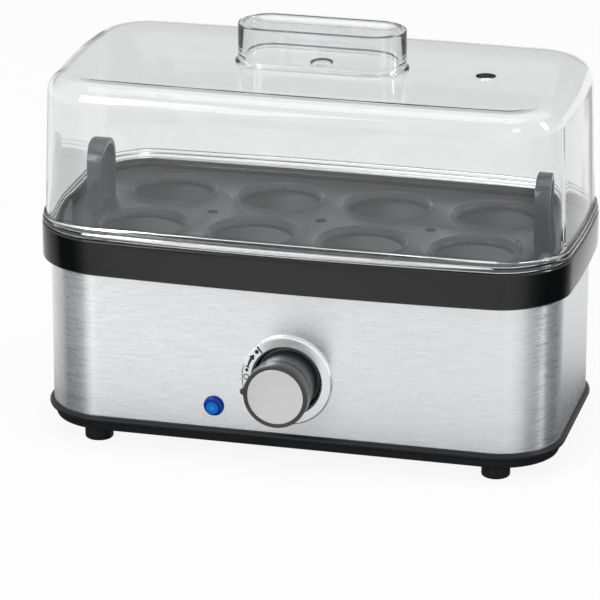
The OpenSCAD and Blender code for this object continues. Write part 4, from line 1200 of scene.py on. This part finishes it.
def card(name, rows, tones, through_glass=False):
    """A card that only reflections show; each point has a tone and an opacity."""
    count = len(rows[0])
    mesh = bpy.data.meshes.new(name)
    mesh.from_pydata([p for row in rows for p in row], [], [
        (r * count + i, r * count + i + 1, (r + 1) * count + i + 1, (r + 1) * count + i)
        for r in range(len(rows) - 1) for i in range(count - 1)])
    layer = mesh.attributes.new("tone", "FLOAT_COLOR", "POINT")
    for point, (level, opacity) in zip(layer.data, [t for row in tones for t in row]):
        point.color = (level, level, level, opacity)
    obj = add_object(name, mesh)
    obj.data.materials.append(card_paint)
    obj.visible_camera = obj.visible_diffuse = obj.visible_shadow = False
    obj.visible_transmission = through_glass


def curtain(name, tones, low, high, distance=1.6, through_glass=False):
    """An upright card that bends round the object, with a tone at each azimuth."""
    card(name, [[at(a, distance, z) for a, _ in tones] for z in (low, high)],
         [[(tone, 1) for _, tone in tones]] * 2, through_glass)


print("card paint:", card_paint.name)

# %% [markdown]
# ## Curtains and a board
# Seen from above, an upright wall mirrors what lies low in front of it, so the curtains
# hang below the table's level. Left and right they run from light to dark and back, which
# draws the dark bands on the rolled corners. A small card in front of them darkens the top
# of the dial's ring. A board stands behind. It also shows through the lid, and makes the
# lid's top and edges read as grey.

# %% Curtains and board
curtain("Curtain left", [
    (-150, 1), (-128, 0.8), (-108, 0.6), (-92, 0.35), (-82, 0.03), (-58, 0.03),
    (-46, 0.18), (-34, 0.55), (-25, 0.88), (-16, 1)], -0.9, -0.16)
curtain("Curtain right", [
    (-16, 1), (0, 0.84), (18, 0.82), (26, 0.9), (34, 0.84), (43, 0.74), (52, 0.6),
    (63, 0.25), (74, 0.1), (86, 0.02), (114, 0.01), (124, 0.05), (134, 0.18), (146, 0.38),
    (157, 0.66), (165, 0.86), (175, 0.96), (185, 1)], -0.9, -0.16)
curtain("Card over the dial", [
    (-28, 1), (-21, 0.2), (-15, 0.08), (-9, 0.12), (-2, 1)], -0.22, -0.04, distance=1.55)
curtain("Board behind", [(95, 0.8), (118, 0.6), (150, 0.56), (237, 0.56), (262, 0.8)],
        0.25, 1.7, 1.9, through_glass=True)

# %% [markdown]
# ## The shadow on the table
# Under and round the object the table lies in the object's shadow, and the base mirrors that. A
# black card just above the table is painted shadow that stands for it, seen only in reflections.
# It starts inside the housing's outline and fades out over 130 mm, further towards the back.

# %% Shadow on the table
CARD_Z, PULL_BACK = 0.0005, 0.3
# Painted shadow: how opaque the black card is at each distance out from the housing, in mm.
painted_shadow_fade = [(-8, 0.97), (0, 0.94), (20, 0.8), (45, 0.3), (90, 0.05), (130, 0)]
loops = [[(x, y + PULL_BACK * max(out, 0)) for x, y in shell_line(-out)] for out, _ in painted_shadow_fade]
card("Shadow on the table",
     [[(x * MM, (y + MIDDLE_Y) * MM, CARD_Z) for x, y in loop + loop[:1]] for loop in loops],
     [[(0, opacity)] * (len(loops[0]) + 1) for _, opacity in painted_shadow_fade])
print("shadow card:", len(painted_shadow_fade), "loops of", len(loops[0]) + 1, "points")
